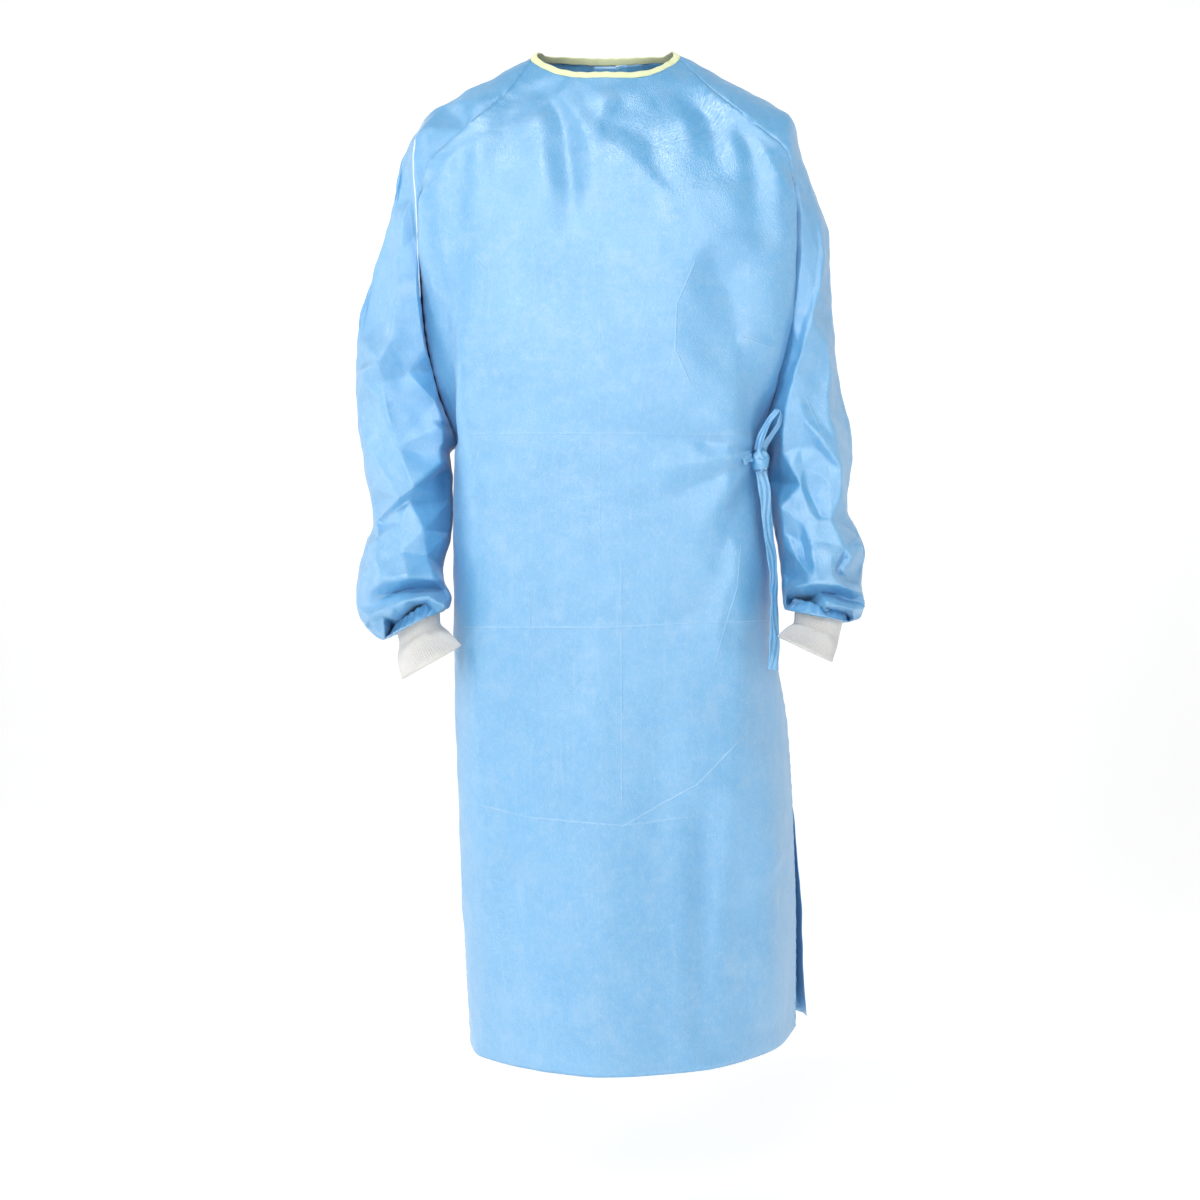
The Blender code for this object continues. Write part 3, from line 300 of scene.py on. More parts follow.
def ease(low, high, x):
    """0 below low, 1 above high and a soft step between."""
    t = np.clip((x - low) / (high - low), 0, 1)
    return t * t * (3 - 2 * t)


def read(columns, name, at):
    """One column of a table at fractional row numbers."""
    return smooth(at, np.arange(len(columns[name])), columns[name])


def points(x, y, z):
    """Arrays of x, y and z spread over each other and put together as points."""
    return np.stack(np.broadcast_arrays(x, y, z), axis=-1).astype(float)


def read_points(columns, kind, at):
    """Points read from a table's three columns of a kind at fractional row numbers."""
    return points(*(read(columns, kind + axis, at) for axis in "xyz"))


def between(at, marks, line):
    """Points of a line at places between its marks, straight from one to the next."""
    return np.stack([np.interp(at, marks, line[:, axis]) for axis in range(3)], axis=-1)


def unit(vectors):
    """Vectors brought to length 1."""
    return vectors / np.maximum(np.linalg.norm(vectors, axis=-1, keepdims=True), 1e-12)


def front_points(station, u):
    """Front panel at stations (rows) and shares u of the way from right seam to left seam.

    A smooth curve runs through seam, edge, chest and middle, and it sinks from the seam's height to the
    middle's by the fourth power of the distance from the middle.
    """
    keys = [0, 0.10, 0.24, 0.5, 0.76, 0.90, 1]
    level = []
    for axis, middle in (("x", 0.0 * station), ("y", read(FRONT, "y", station))):
        right, left = ([read(side, place + axis, station) for place in ("seam_", "edge_", "chest_")]
                       for side in (FRONT_RIGHT, FRONT_LEFT))
        level.append(smooth(u, keys, np.stack(right + [middle] + left[::-1], axis=-1)))
    middle = read(FRONT, "z", station)[:, None]
    seam = np.where(u < 0.5, read(FRONT_RIGHT, "seam_z", station)[:, None],
                    read(FRONT_LEFT, "seam_z", station)[:, None])
    return points(*level, seam + (middle - seam) * (1 - np.abs(2 * u - 1) ** 4))


def grid_normals(grid, outward):
    """Unit normals of a grid. outward is 1 or -1, whichever points them out."""
    return unit(outward * np.cross(np.gradient(grid, axis=0), np.gradient(grid, axis=1)))


def fold_relief(at, folds, gain=1.0):
    """How far folds push the cloth in: tents where they are sharp, else exp(-(distance / width) ** sharp)."""
    x, z = at[..., 0], at[..., 2]
    depth = np.zeros(x.shape)
    for row in zip(*(folds[name] for name in FOLD_COLUMNS.split())):
        from_x, from_z, to_x, to_z, bow, width, deep, sharp, skew = row
        length = np.hypot(to_x - from_x, to_z - from_z)
        way_x, way_z = (to_x - from_x) / length, (to_z - from_z) / length
        along = ((x - from_x) * way_x + (z - from_z) * way_z) / length
        across = (x - from_x) * way_z - (z - from_z) * way_x - 4 * bow * along * (1 - along)
        side = width * (1 + skew * np.tanh(3 * across / width))
        beyond = np.maximum(np.abs(along - 0.5) - 0.5, 0) * length
        taper = np.sqrt(np.clip(np.minimum(along, 1 - along) * 4 + 0.15, 0, 1))
        near = np.sqrt(across ** 2 + (0.12 * width) ** 2) / side
        form = np.exp(-near ** sharp) if sharp > 1.45 else np.clip(1 - near / 1.9, 0, 1)
        depth += gain * deep * taper * form * np.exp(-(beyond / width) ** 2)
    return depth


def facets(at, creases, corner, height, outside):
    """Heights between corners as flat triangles in XZ, split along the creases; outside past them."""
    same = np.flatnonzero(np.diff(creases["crease"]) == 0)
    runs = [(int(first), int(first) + 1) for first in same]
    net = delaunay_2d_cdt([Vector(point) for point in corner], runs, [], 0, 1e-6)
    out = np.array(np.broadcast_to(outside, at.shape[:-1]), float)
    for triangle in net[2]:
        origin = [net[3][vertex][0] for vertex in triangle]
        a, b, c = corner[origin]
        turn = np.linalg.inv(np.stack([b - a, c - a], axis=1))
        off = at[..., (0, 2)] - a
        second, third = (off @ turn.T)[..., 0], (off @ turn.T)[..., 1]
        inside = (second >= 0) & (third >= 0) & (second + third <= 1)
        at_a, at_b, at_c = height[origin]
        level = at_a * (1 - second - third) + at_b * second + at_c * third
        out = np.where(inside, level, out)
    return out


def crumpled(grid, normal, creases, gain, fade):
    """A sleeve whose front is flat facets: only creases stand off the smooth form, in depth (Y)."""
    band, inset = 0.008, 0.002      # height of the band that a side is read in, and how far in it lies
    levels = np.linspace(creases["z"].max() + 0.03, grid[..., 2].min() + band, RIM_LEVELS)
    bands = [grid[..., 0][np.abs(grid[..., 2] - level) < band] for level in levels]
    ends = np.array([[across.min() + inset, across.max() - inset] for across in bands])
    sides = np.stack([ends.T.ravel(), np.tile(levels, 2)], axis=-1)
    rims = [np.stack(np.broadcast_arrays(np.linspace(*ends[row], RIM_POINTS)[1:-1], levels[row]), axis=-1)
            for row in (0, -1)]
    corner = np.concatenate([np.stack([creases["x"], creases["z"]], axis=-1), sides, *rims])
    front = grid[normal[..., 1] < FACES_FRONT]
    gap = (front[:, None, 0] - corner[None, :, 0]) ** 2 + (front[:, None, 2] - corner[None, :, 1]) ** 2
    height = front[gap.argmin(axis=0), 1]
    height[:len(creases["out"])] -= gain * creases["out"]
    depth = near_mean(facets(grid, creases, corner, height, np.nan_to_num(grid[..., 1])), 0.9, 0.7)
    made = grid.copy()
    made[..., 1] += (depth - grid[..., 1]) * ease(0.0, 0.40, -normal[..., 1]) * fade
    return made


def swells(at, size, phase):
    """Unevenness of loose cloth: crossed sine waves of about this size, from -1 to 1."""
    x, y, z = np.moveaxis(at, -1, 0) * 2 * np.pi / size
    long = np.sin(0.92 * x + 0.38 * z + phase) * np.sin(0.57 * z - 0.50 * x + 0.4 * y + 2.1 * phase)
    short = np.sin(0.56 * x + 1.60 * z + 1.7 * phase) * np.sin(1.36 * x - 0.31 * z - 0.9 * y + 0.6 * phase)
    return (long + 0.6 * short) / 1.6


def walked(grid, axis):
    """Distance walked along a grid's rows (axis 1) or columns (axis 0), from its first point."""
    step = np.linalg.norm(np.diff(grid, axis=axis), axis=-1)
    none = np.zeros_like(np.take(step, [0], axis=axis))
    return np.concatenate([none, np.cumsum(step, axis=axis)], axis=axis)


def seam_pull(grid, at_start, rows):
    """A sewn edge draws the cloth in: a narrow groove on it and short puckers that die out beside it."""
    across = walked(grid, 1)
    off = across if at_start else across[:, -1:] - across
    line = walked(grid, 0)[:, :1] if at_start else walked(grid, 0)[:, -1:]
    pucker = np.sin(2 * np.pi * line / PUCKER_PITCH + 2.5 * np.sin(2 * np.pi * line / PUCKER_DRIFT))
    depth = SEAM_GROOVE * np.exp(-(off / SEAM_GROOVE_WIDTH) ** 2)
    depth = depth + PUCKER_HEIGHT * pucker * np.exp(-off / PUCKER_REACH)
    sewn = np.zeros((grid.shape[0], 1))
    sewn[rows] = 1
    return depth * sewn


def dressed(grid, outward, facing, folds, fade, gain=1.0):
    """The grid with folds pressed in where it looks the way that they are seen from (-1 front, 1 back)."""
    normal = grid_normals(grid, outward)
    mask = ease(-0.25, 0.35, facing * normal[..., 1]) * fade
    return grid - normal * (fold_relief(grid, folds, gain) * mask)[..., None]


def edge_fade(columns, share):
    """1 inside a panel, falling to 0 at its first and last column."""
    u = np.linspace(0, 1, columns)
    return ease(0, share, np.minimum(u, 1 - u))[None, :]


def near_mean(values, reach_rows, reach_columns):
    """Gaussian mean of a grid of numbers over this many rows and columns."""
    for axis, reach in ((0, reach_rows), (1, reach_columns)):
        at = np.arange(values.shape[axis])
        weight = np.exp(-((at[:, None] - at[None, :]) / reach) ** 2)
        weight /= weight.sum(axis=1, keepdims=True)
        values = weight @ values if axis == 0 else values @ weight.T
    return values


def smooth_object(name, places, faces, look):
    """An object of points and faces in one smooth-shaded material."""
    mesh = bpy.data.meshes.new(name)
    mesh.from_pydata(places.reshape(-1, 3).tolist(), [], faces)
    mesh.shade_smooth()
    mesh.materials.append(look)
    made = bpy.data.objects.new(name, mesh)
    bpy.context.scene.collection.objects.link(made)
    return made


def cloth_sheet(name, grid, outward, thick, look, ring_from=None):
    """A sheet on a grid of points, its UV the lengths walked on it. Rows past ring_from close into rings."""
    rows, columns = grid.shape[:2]
    index = np.arange(rows * columns).reshape(rows, columns)
    welded = index.copy()
    if ring_from is not None:
        welded[ring_from:, -1] = index[ring_from:, 0]
    here, after = slice(None, -1), slice(1, None)
    corner = [(here, here), (after, here), (after, after), (here, after)]
    order = corner if outward > 0 else corner[::-1]
    faces = np.stack([welded[place] for place in order], axis=-1).reshape(-1, 4)
    flat = np.stack([index[place] for place in order], axis=-1).reshape(-1)
    used, faces = np.unique(faces, return_inverse=True)
    made = smooth_object(name, grid.reshape(-1, 3)[used], faces.reshape(-1, 4).tolist(), look)
    uv = np.stack([walked(grid, 1), walked(grid, 0)], axis=-1).reshape(-1, 2)[flat]
    made.data.uv_layers.new(name="cut").data.foreach_set("uv", uv.reshape(-1).astype(np.float32))
    solid = made.modifiers.new("thickness", "SOLIDIFY")
    solid.thickness = thick
    solid.offset = 0
    return made


def add(tree, kind, inputs=(), **settings):
    """A new shader node, its settings and its inputs: a socket is linked and a value is set."""
    made = tree.nodes.new(kind)
    for key, value in settings.items():
        setattr(made, key, value)
    for key, value in dict(inputs).items():
        if isinstance(value, bpy.types.NodeSocket):
            tree.links.new(value, made.inputs[key])
        else:
            made.inputs[key].default_value = value
    return made


def mixed(tree, share, first, second):
    """Mix of two colours by a share."""
    return add(tree, "ShaderNodeMix", {0: share, 6: first, 7: second}, data_type="RGBA").outputs[2]


def ranged(tree, value, low, high, to_low=0.0, to_high=1.0):
    """A value taken from one range to another, with soft ends."""
    return add(tree, "ShaderNodeMapRange", {0: value, 1: low, 2: high, 3: to_low, 4: to_high},
               interpolation_type="SMOOTHSTEP").outputs[0]


def crease_lines(tree, place, creases):
    """1 on the lines of a table of creases and 0 from CREASE_REACH off: distance to each segment in XZ."""
    strongest = None
    level = add(tree, "ShaderNodeVectorMath", {0: place, 1: (1, 0, 1)}, operation="MULTIPLY").outputs[0]
    for row in zip(*(creases[name] for name in CREASE_COLUMNS.split())):
        from_x, from_z, to_x, to_z, strength = row
        span = Vector((to_x - from_x, 0, to_z - from_z))
        off = add(tree, "ShaderNodeVectorMath", {0: level, 1: (from_x, 0, from_z)}, operation="SUBTRACT")
        share = add(tree, "ShaderNodeVectorMath", {0: off.outputs[0], 1: span / span.length_squared},
                    operation="DOT_PRODUCT")
        clamped = add(tree, "ShaderNodeClamp", {0: share.outputs[1]})
        foot = add(tree, "ShaderNodeVectorMath", {0: tuple(span), 3: clamped.outputs[0]}, operation="SCALE")
        gap = add(tree, "ShaderNodeVectorMath", {0: off.outputs[0], 1: foot.outputs[0]}, operation="DISTANCE")
        line = ranged(tree, gap.outputs[1], 0.0, CREASE_REACH, strength, 0.0)
        if strongest is not None:
            line = add(tree, "ShaderNodeMath", {0: line, 1: strongest}, operation="MAXIMUM").outputs[0]
        strongest = line
    return strongest


def material(name, **settings):
    """A new material, its node tree and its shader with these settings, an underscore for each space."""
    look = bpy.data.materials.new(name)
    look.use_nodes = True
    shader = look.node_tree.nodes["Principled BSDF"]
    for key, value in settings.items():
        shader.inputs[key.replace("_", " ")].default_value = value
    return look, look.node_tree, shader


# The cloth's deep and plain blue, then its lighter marks: where each lies, how it is stretched down the
# cloth, its noise's scale, detail and roughness, the range of it that shows, its cover and its colour.
DEEP_BLUE = (0.040, 0.322, 0.630, 1)
PLAIN_BLUE = (0.065, 0.355, 0.665, 1)
BOND_BLUE = (0.095, 0.335, 0.650, 1)
# Pale colour of the crease lines: partly whitening of the pressed cloth, partly painted highlight on their
# ridges.
CREASE_WHITENING_AND_HIGHLIGHT = (0.600, 0.780, 0.960, 1)
CLOTH_MARKS = {
    "blotch": ("Object", 1.0, 26.0, 5.0, 0.65, 0.50, 0.74, 0.60, (0.170, 0.405, 0.655, 1)),
    "mottle": ("Object", 1.0, 95.0, 5.0, 0.70, 0.42, 0.72, 0.42, (0.180, 0.425, 0.675, 1)),
    "streak": ("UV", 0.05, 230.0, 3.0, 0.60, 0.50, 0.78, 0.30, (0.225, 0.465, 0.705, 1)),
    "fibre": ("UV", 0.22, 780.0, 3.0, 0.75, 0.48, 0.74, 0.45, (0.320, 0.558, 0.800, 1)),
}


def nonwoven(name, creases):
    """Spunbonded cloth: clouded blue with lighter marks, a fine bond pattern and pale creases pressed in,
    whose pale line is partly whitening of the pressed cloth and partly painted highlight on the creases'
    ridges.
    """
    look, tree, shader = material(name, IOR=2.55, Sheen_Weight=0.25, Sheen_Roughness=0.35)
    where = add(tree, "ShaderNodeTexCoord")
    place, cut = where.outputs["Object"], where.outputs["UV"]
    cloud = add(tree, "ShaderNodeTexNoise", {"Vector": place, "Scale": 7.0, "Detail": 4.0, "Roughness": 0.6})
    colour = mixed(tree, ranged(tree, cloud.outputs[0], 0.35, 0.68), DEEP_BLUE, PLAIN_BLUE)
    noise = {}
    for mark, (space, stretch, scale, detail, rough, low, high, cover, tint) in CLOTH_MARKS.items():
        drawn = add(tree, "ShaderNodeMapping", {"Vector": where.outputs[space], "Scale": (1.0, stretch, 1.0)})
        noise[mark] = add(tree, "ShaderNodeTexNoise", {"Vector": drawn.outputs[0], "Scale": scale,
                                                       "Detail": detail, "Roughness": rough}).outputs[0]
        colour = mixed(tree, ranged(tree, noise[mark], low, high, 0.0, cover), colour, tint)
    turned = add(tree, "ShaderNodeMapping", {"Vector": cut, "Rotation": (0.0, 0.0, 0.785),
                                             "Scale": (1.0, 0.8, 1.0)})
    bonds = add(tree, "ShaderNodeTexVoronoi", {"Vector": turned.outputs[0], "Scale": 560.0,
                                               "Randomness": 0.75}, voronoi_dimensions="2D")
    bond = ranged(tree, bonds.outputs["Distance"], 0.12, 0.50)
    colour = mixed(tree, ranged(tree, bond, 0.0, 1.0, 0.16, 0.0), colour, BOND_BLUE)
    height = add(tree, "ShaderNodeMath", {0: bond, 1: noise["fibre"]}, operation="ADD").outputs[0]
    raised = add(tree, "ShaderNodeBump", {"Strength": 0.42, "Distance": 0.0005, "Height": height})
    line = crease_lines(tree, place, creases)
    # The crease lines lightened: partly whitening of pressed cloth, partly painted highlight.
    colour = mixed(tree, ranged(tree, line, 0.0, 1.0, 0.0, 0.14), colour, CREASE_WHITENING_AND_HIGHLIGHT)
    raised = add(tree, "ShaderNodeBump", {"Strength": 0.6, "Distance": 0.0009, "Height": line,
                                          "Normal": raised.outputs[0]})
    dull = ranged(tree, noise["blotch"], 0.3, 0.7, 0.50, 0.43)
    tree.links.new(colour, shader.inputs["Base Color"])
    tree.links.new(dull, shader.inputs["Roughness"])
    tree.links.new(raised.outputs[0], shader.inputs["Normal"])
    return look


yoke_rows = np.linspace(0, UNDERARM, YOKE_STEPS + 1)
body_rows = np.append(yoke_rows, np.linspace(UNDERARM, HEM, SKIRT_STEPS + 1)[1:])
raglan = slice(0, YOKE_STEPS + 1)
every_row = slice(None)

plain_front = front_points(body_rows, np.linspace(0, 1, FRONT_COLUMNS))
front_grid = dressed(plain_front, 1, -1, BODY_FOLDS, edge_fade(FRONT_COLUMNS, 0.10), FOLD_GAIN)
chest_corner = np.concatenate([np.stack([BODY_CRUMPLE["x"], BODY_CRUMPLE["z"]], axis=-1), BODY_OUTLINE])
chest_height = np.append(BODY_CRUMPLE["out"], np.zeros(len(BODY_OUTLINE)))
chest = facets(front_grid, BODY_CRUMPLE, chest_corner, chest_height, 0.0)
chest = near_mean(chest, BODY_SOFTNESS, BODY_SOFTNESS)
front_grid = front_grid + grid_normals(plain_front, 1) * (chest * edge_fade(FRONT_COLUMNS, 0.08))[..., None]
front_normal = grid_normals(front_grid, 1)
front_depth = SWELL_DEPTH * swells(front_grid, SWELL_SIZE, 0.4)
front_depth += WIDE_DEPTH * swells(front_grid, WIDE_SIZE, 1.9)
front_depth *= edge_fade(FRONT_COLUMNS, 0.06)
front_depth += seam_pull(front_grid, True, every_row) + seam_pull(front_grid, False, every_row)
front_grid = front_grid - front_normal * front_depth[..., None]
front_cloth = nonwoven("front_nonwoven", FRONT_CREASES)
front = cloth_sheet("front_cloth", front_grid, 1, CLOTH_THICK, front_cloth)
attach(front, "root")
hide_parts("front_panel")


# ---------------------------------------------------------------- sleeves
# Two raglan sleeves, each cut in one piece from the same nonwoven and closed by a seam under the
# arm. Sewn to the front and the back from neck to underarm, and gathered into the cuff.
SLEEVE_DEPTH = -0.045   # where the sleeves' facets lie
SLEEVE_COLUMNS = 145    # grid points round a sleeve
ARM_STEPS = 192         # grid steps from the underarm to the cuff
CRUMPLE_GAIN = 1.1      # how much further the facets stand out than their tables say
SEAM_FREE = (2, 30)     # rows below the underarm over which the folds begin to cross the inner line
SMOOTH_END = (37, 28)   # rows above the sleeve's end over which the folds and facets fade out
GATHER_ROWS = 70        # rows at the end that the gathers take up
GATHERS = 19            # waves round the arm
GATHER_DEPTH = 0.0013
ARM_SWELLS = ((0.0012, 0.05, 0.0), (0.0018, 0.13, 1.0))     # depth, size and phase
RAGLAN_BACK = table(
    "x y z",
    (0.078, 0.040, 0.003), (0.112, 0.074, -0.044), (0.153, 0.100, -0.090),
    (0.196, 0.112, -0.138), (0.212, 0.106, -0.188), (0.213, 0.092, -0.240),
    (0.209, 0.076, -0.330), (0.199, 0.052, -0.400), (0.189, 0.024, -0.448),
    (0.1825, 0.005, -0.470),
)
YOKE_SLEEVE_RIGHT = table(
    "outer_x outer_y outer_z depth pinch",
    (-0.0880, 0.013, 0.004, 0.000, 1.0), (-0.1290, 0.008, -0.021, 0.002, 1.0),
    (-0.1750, 0.004, -0.047, 0.006, 1.0), (-0.2210, 0.002, -0.080, 0.008, 1.0),
    (-0.2420, 0.000, -0.122, 0.012, 1.0), (-0.2530, 0.000, -0.172, 0.020, 1.0),
    (-0.2800, 0.002, -0.258, 0.036, 1.0), (-0.3010, 0.004, -0.328, 0.052, 1.0),
    (-0.3040, 0.004, -0.388, 0.067, 0.6), (-0.3037, 0.005, -0.433, 0.080, 0.0),
)
ARM_RIGHT = table(
    "outer_x outer_z inner_x inner_z y depth",
    (-0.2985, -0.472, -0.1905, -0.484, 0.002, 0.080),
    (-0.2915, -0.508, -0.1870, -0.513, -0.003, 0.077),
    (-0.2845, -0.541, -0.1865, -0.541, -0.008, 0.072),
    (-0.2795, -0.570, -0.1870, -0.565, -0.012, 0.067),
    (-0.2900, -0.596, -0.1895, -0.590, -0.020, 0.070),
    (-0.2975, -0.632, -0.1960, -0.616, -0.030, 0.071),
    (-0.2975, -0.668, -0.1930, -0.642, -0.045, 0.065),
    (-0.2850, -0.695, -0.1850, -0.660, -0.060, 0.057),
    (-0.2660, -0.709, -0.1880, -0.671, -0.070, 0.049),
    (-0.2550, -0.699, -0.1935, -0.663, -0.073, 0.040),
    (-0.2500, -0.689, -0.1975, -0.656, -0.073, 0.034),
)
YOKE_SLEEVE_LEFT = table(
    "outer_x outer_y outer_z depth pinch",
    (0.0880, 0.013, 0.005, 0.000, 1.0), (0.1305, 0.008, -0.020, 0.002, 1.0),
    (0.1755, 0.004, -0.046, 0.006, 1.0), (0.2220, 0.002, -0.075, 0.008, 1.0),
    (0.2345, 0.000, -0.110, 0.010, 1.0), (0.2480, 0.000, -0.156, 0.016, 1.0),
    (0.2700, 0.002, -0.214, 0.028, 1.0), (0.2750, 0.004, -0.296, 0.044, 1.0),
    (0.2800, 0.004, -0.362, 0.064, 0.6), (0.2900, 0.005, -0.418, 0.080, 0.0),
)
ARM_LEFT = table(
    "outer_x outer_z inner_x inner_z y depth",
    (0.2995, -0.467, 0.1960, -0.481, 0.002, 0.080),
    (0.2970, -0.514, 0.1965, -0.511, -0.003, 0.076),
    (0.2925, -0.553, 0.1995, -0.543, -0.010, 0.069),
    (0.3060, -0.580, 0.2050, -0.569, -0.016, 0.068),
    (0.3120, -0.604, 0.2085, -0.594, -0.025, 0.070),
    (0.3075, -0.645, 0.2110, -0.632, -0.042, 0.067),
    (0.3100, -0.665, 0.2120, -0.650, -0.055, 0.062),
    (0.3035, -0.684, 0.2130, -0.669, -0.065, 0.055),
    (0.2900, -0.688, 0.2140, -0.673, -0.070, 0.048),
    (0.2870, -0.681, 0.2200, -0.667, -0.073, 0.040),
    (0.2840, -0.674, 0.2240, -0.660, -0.073, 0.034),
)
SLEEVE_RIGHT_FOLDS = table(
    FOLD_COLUMNS,
    (-0.246, -0.124, -0.250, -0.200, 0.000, 0.016, -0.0030, 1.6, 0.0),
)
SLEEVE_LEFT_FOLDS = ends_seen(
    SEEN_FOLD_COLUMNS, SLEEVE_DEPTH,
    (800, 190, 812, 201, 0, 0.004, -0.0015, 1.2, 0),      # small creases across the pleat
    (799, 206, 812, 217, 0, 0.004, -0.0015, 1.2, 0),
)
# The corners of the sleeves' facets, with how far each stands in front of the smooth sleeve.
SLEEVE_RIGHT_CRUMPLE = runs_seen(
    CRUMPLE_COLUMNS, SLEEVE_DEPTH,
    # pleat beside the front seam
    [(424, 128, 0.002), (417, 142, 0.004), (416, 160, 0.005), (419, 200, 0.005), (419, 245, 0.004)],
    # behind the pleat
    [(412, 144, -0.003), (410, 165, -0.005), (413, 200, -0.004), (414, 238, -0.002)],
    # top of the sleeve
    [(403, 215, 0), (401, 255, 0), (398, 300, 0), (391, 340, 0.003), (379, 361, 0.009),
     (361, 370, 0.010)],
    # front edge beside the body
    [(417, 262, 0.011), (418, 300, 0.016), (423, 333, 0.020), (426, 352, 0.020)],
    # hollow beside the body
    [(426, 268, 0.004), (428, 310, 0.006), (433, 340, 0.006), (433, 371, 0.008), (440, 388, 0.012)],
    # band under the sheen
    [(364, 383, 0.002), (384, 384, -0.004), (405, 377, -0.003)],
    # edge to the inside of the elbow
    [(408, 372, 0.003), (421, 387, 0.013), (436, 402, 0.026), (444, 426, 0.034), (446, 462, 0.033)],
    # front edge of the elbow
    [(384, 402, 0), (399, 448, 0.004), (416, 489, 0.017), (402, 499, 0.015), (377, 521, 0.013)],
    # outer face
    [(362, 432, 0.002), (370, 485, 0.001), (384, 470, -0.001)],
    # crease under the elbow
    [(412, 501, 0.004), (398, 510, 0.002), (384, 523, 0.001)],
    # edge below the elbow
    [(380, 537, 0.011), (402, 524, 0.012), (426, 531, 0.012), (446, 537, 0.013)],
    # lower arm
    [(405, 552, 0.005), (430, 556, 0.009)],
    # outer edge of the lower arm
    [(371, 545, 0.009), (379, 560, 0.011), (386, 575, 0.013)],
    # lip above the roll
    [(372, 592, 0.006), (386, 581, 0.014), (412, 577, 0.016), (437, 579, 0.025), (450, 582, 0.030)],
    # crease under the lip
    [(378, 604, -0.004), (394, 594, -0.010), (412, 589, -0.014), (430, 589, -0.015),
     (443, 589, -0.008), (453, 594, 0.004)],
    # roll above the cuff
    [(398, 606, 0.014), (414, 600, 0.020), (434, 597, 0.024), (447, 604, 0.025), (452, 622, 0.020)],
    # pockets at the cuff
    [(436, 607, 0.003), (443, 614, 0.001), (446, 628, 0.001)],
    # short folds at the cuff
    [(406, 612, 0.001), (412, 626, 0)],
    [(397, 613, 0.015), (404, 632, 0.014)],
    [(377, 624, 0.001), (389, 617, -0.001), (396, 627, 0)],
    [(366, 634, 0.016), (376, 616, 0.017), (387, 611, 0.014)],
    [(388, 640, -0.002), (397, 652, -0.001)],
    [(421, 612, 0.018), (428, 624, 0.016)],
    # outside of the roll
    [(360, 606, 0.009), (362, 577, 0.008)],
)
SLEEVE_LEFT_CRUMPLE = runs_seen(
    CRUMPLE_COLUMNS, SLEEVE_DEPTH,
    # front edge that laps the body
    [(820, 208, 0.007), (823, 256, 0.012), (818, 290, 0.015), (809, 320, 0.017), (801, 345, 0.019),
     (791, 380, 0.021), (783, 412, 0.023), (780, 434, 0.022)],
    # crease under it
    [(815, 212, 0.003), (817, 256, 0.006), (812, 290, 0.009), (803, 319, 0.012), (795, 343, 0.014),
     (786, 378, 0.016), (778, 406, 0.018)],
    # band beside the body
    [(800, 212, 0.005), (800, 258, 0.008), (797, 290, 0.011), (790, 318, 0.013)],
    # outer edge of the arm
    [(826, 345, 0.011), (830, 372, 0.012), (826, 398, 0.011), (827, 420, 0.009), (834, 447, 0.012),
     (839, 470, 0.020), (839, 495, 0.020), (846, 509, 0.016)],
    # edge over the elbow
    [(797, 402, 0.009), (800, 420, 0.011), (815, 437, 0.012), (829, 455, 0.013)],
    # hollow above it
    [(807, 396, 0.004), (812, 411, 0.003), (821, 428, 0.005)],
    # hollow below it
    [(781, 455, 0.016), (798, 448, 0), (813, 450, -0.001), (826, 463, 0.001)],
    # fold into the elbow
    [(788, 468, 0.015), (798, 486, 0.008), (806, 512, 0.006)],
    [(801, 468, 0.004), (808, 494, -0.004), (818, 518, -0.002)],
    # front face
    [(826, 482, 0.007), (828, 520, 0.007)],
    # inside of the lower arm
    [(779, 508, 0.026), (782, 546, 0.018)],
    # edge on the lower arm
    [(814, 521, 0.005), (799, 524, 0.010), (785, 534, 0.014), (793, 557, 0.007), (803, 574, 0.014)],
    # crease beside it
    [(799, 543, -0.003), (803, 560, -0.008)],
    # second edge
    [(806, 540, 0.005), (809, 573, 0.014)],
    # right of it
    [(840, 548, 0.008), (829, 560, 0.008), (827, 573, 0.015)],
    # crease that meets it
    [(839, 561, -0.003), (832, 569, -0.005)],
    # outer bulge
    [(859, 545, 0.016), (847, 559, 0.012), (837, 571, 0.008)],
    # pocket above the roll, inside
    [(781, 571, -0.002), (789, 578, -0.009), (797, 578, -0.005)],
    # pocket above the roll, outside
    [(836, 576, -0.006), (847, 581, -0.010), (857, 584, -0.002)],
    # lip above the roll
    [(778, 592, 0.024), (789, 587, 0.020), (802, 584, 0.017), (816, 583, 0.016), (834, 585, 0.017),
     (848, 590, 0.019), (859, 593, 0.020)],
    # crease under the lip
    [(779, 604, 0.008), (791, 601, -0.006), (802, 594, -0.012), (816, 592, -0.015), (832, 595, -0.016),
     (846, 600, -0.010), (857, 603, 0.004)],
    # roll above the cuff
    [(784, 615, 0.018), (803, 606, 0.015), (820, 603, 0.019), (846, 609, 0.019), (860, 607, 0.020)],
    # short folds at the cuff
    [(790, 622, 0.004), (812, 612, 0.002)],
    [(826, 612, 0.017), (828, 619, 0.014)],
    [(842, 617, 0.004), (852, 630, 0.004)],
)
# The sleeves' creases are fold edges at the elbows and lower arms; their pale lines are painted highlight
# where those edges catch the light.
SLEEVE_CREASES = ends_seen(
    SEEN_CREASE_COLUMNS, SLEEVE_DEPTH,
    # right elbow
    (405, 370, 436, 402, 0.6), (416, 489, 402, 499, 0.9), (402, 499, 377, 521, 0.7),
    (383, 382, 399, 448, 0.4), (399, 448, 416, 489, 0.4),
    # left elbow and lower arm
    (804, 400, 820, 437, 0.5), (794, 530, 803, 574, 0.6), (840, 548, 827, 573, 0.6),
)
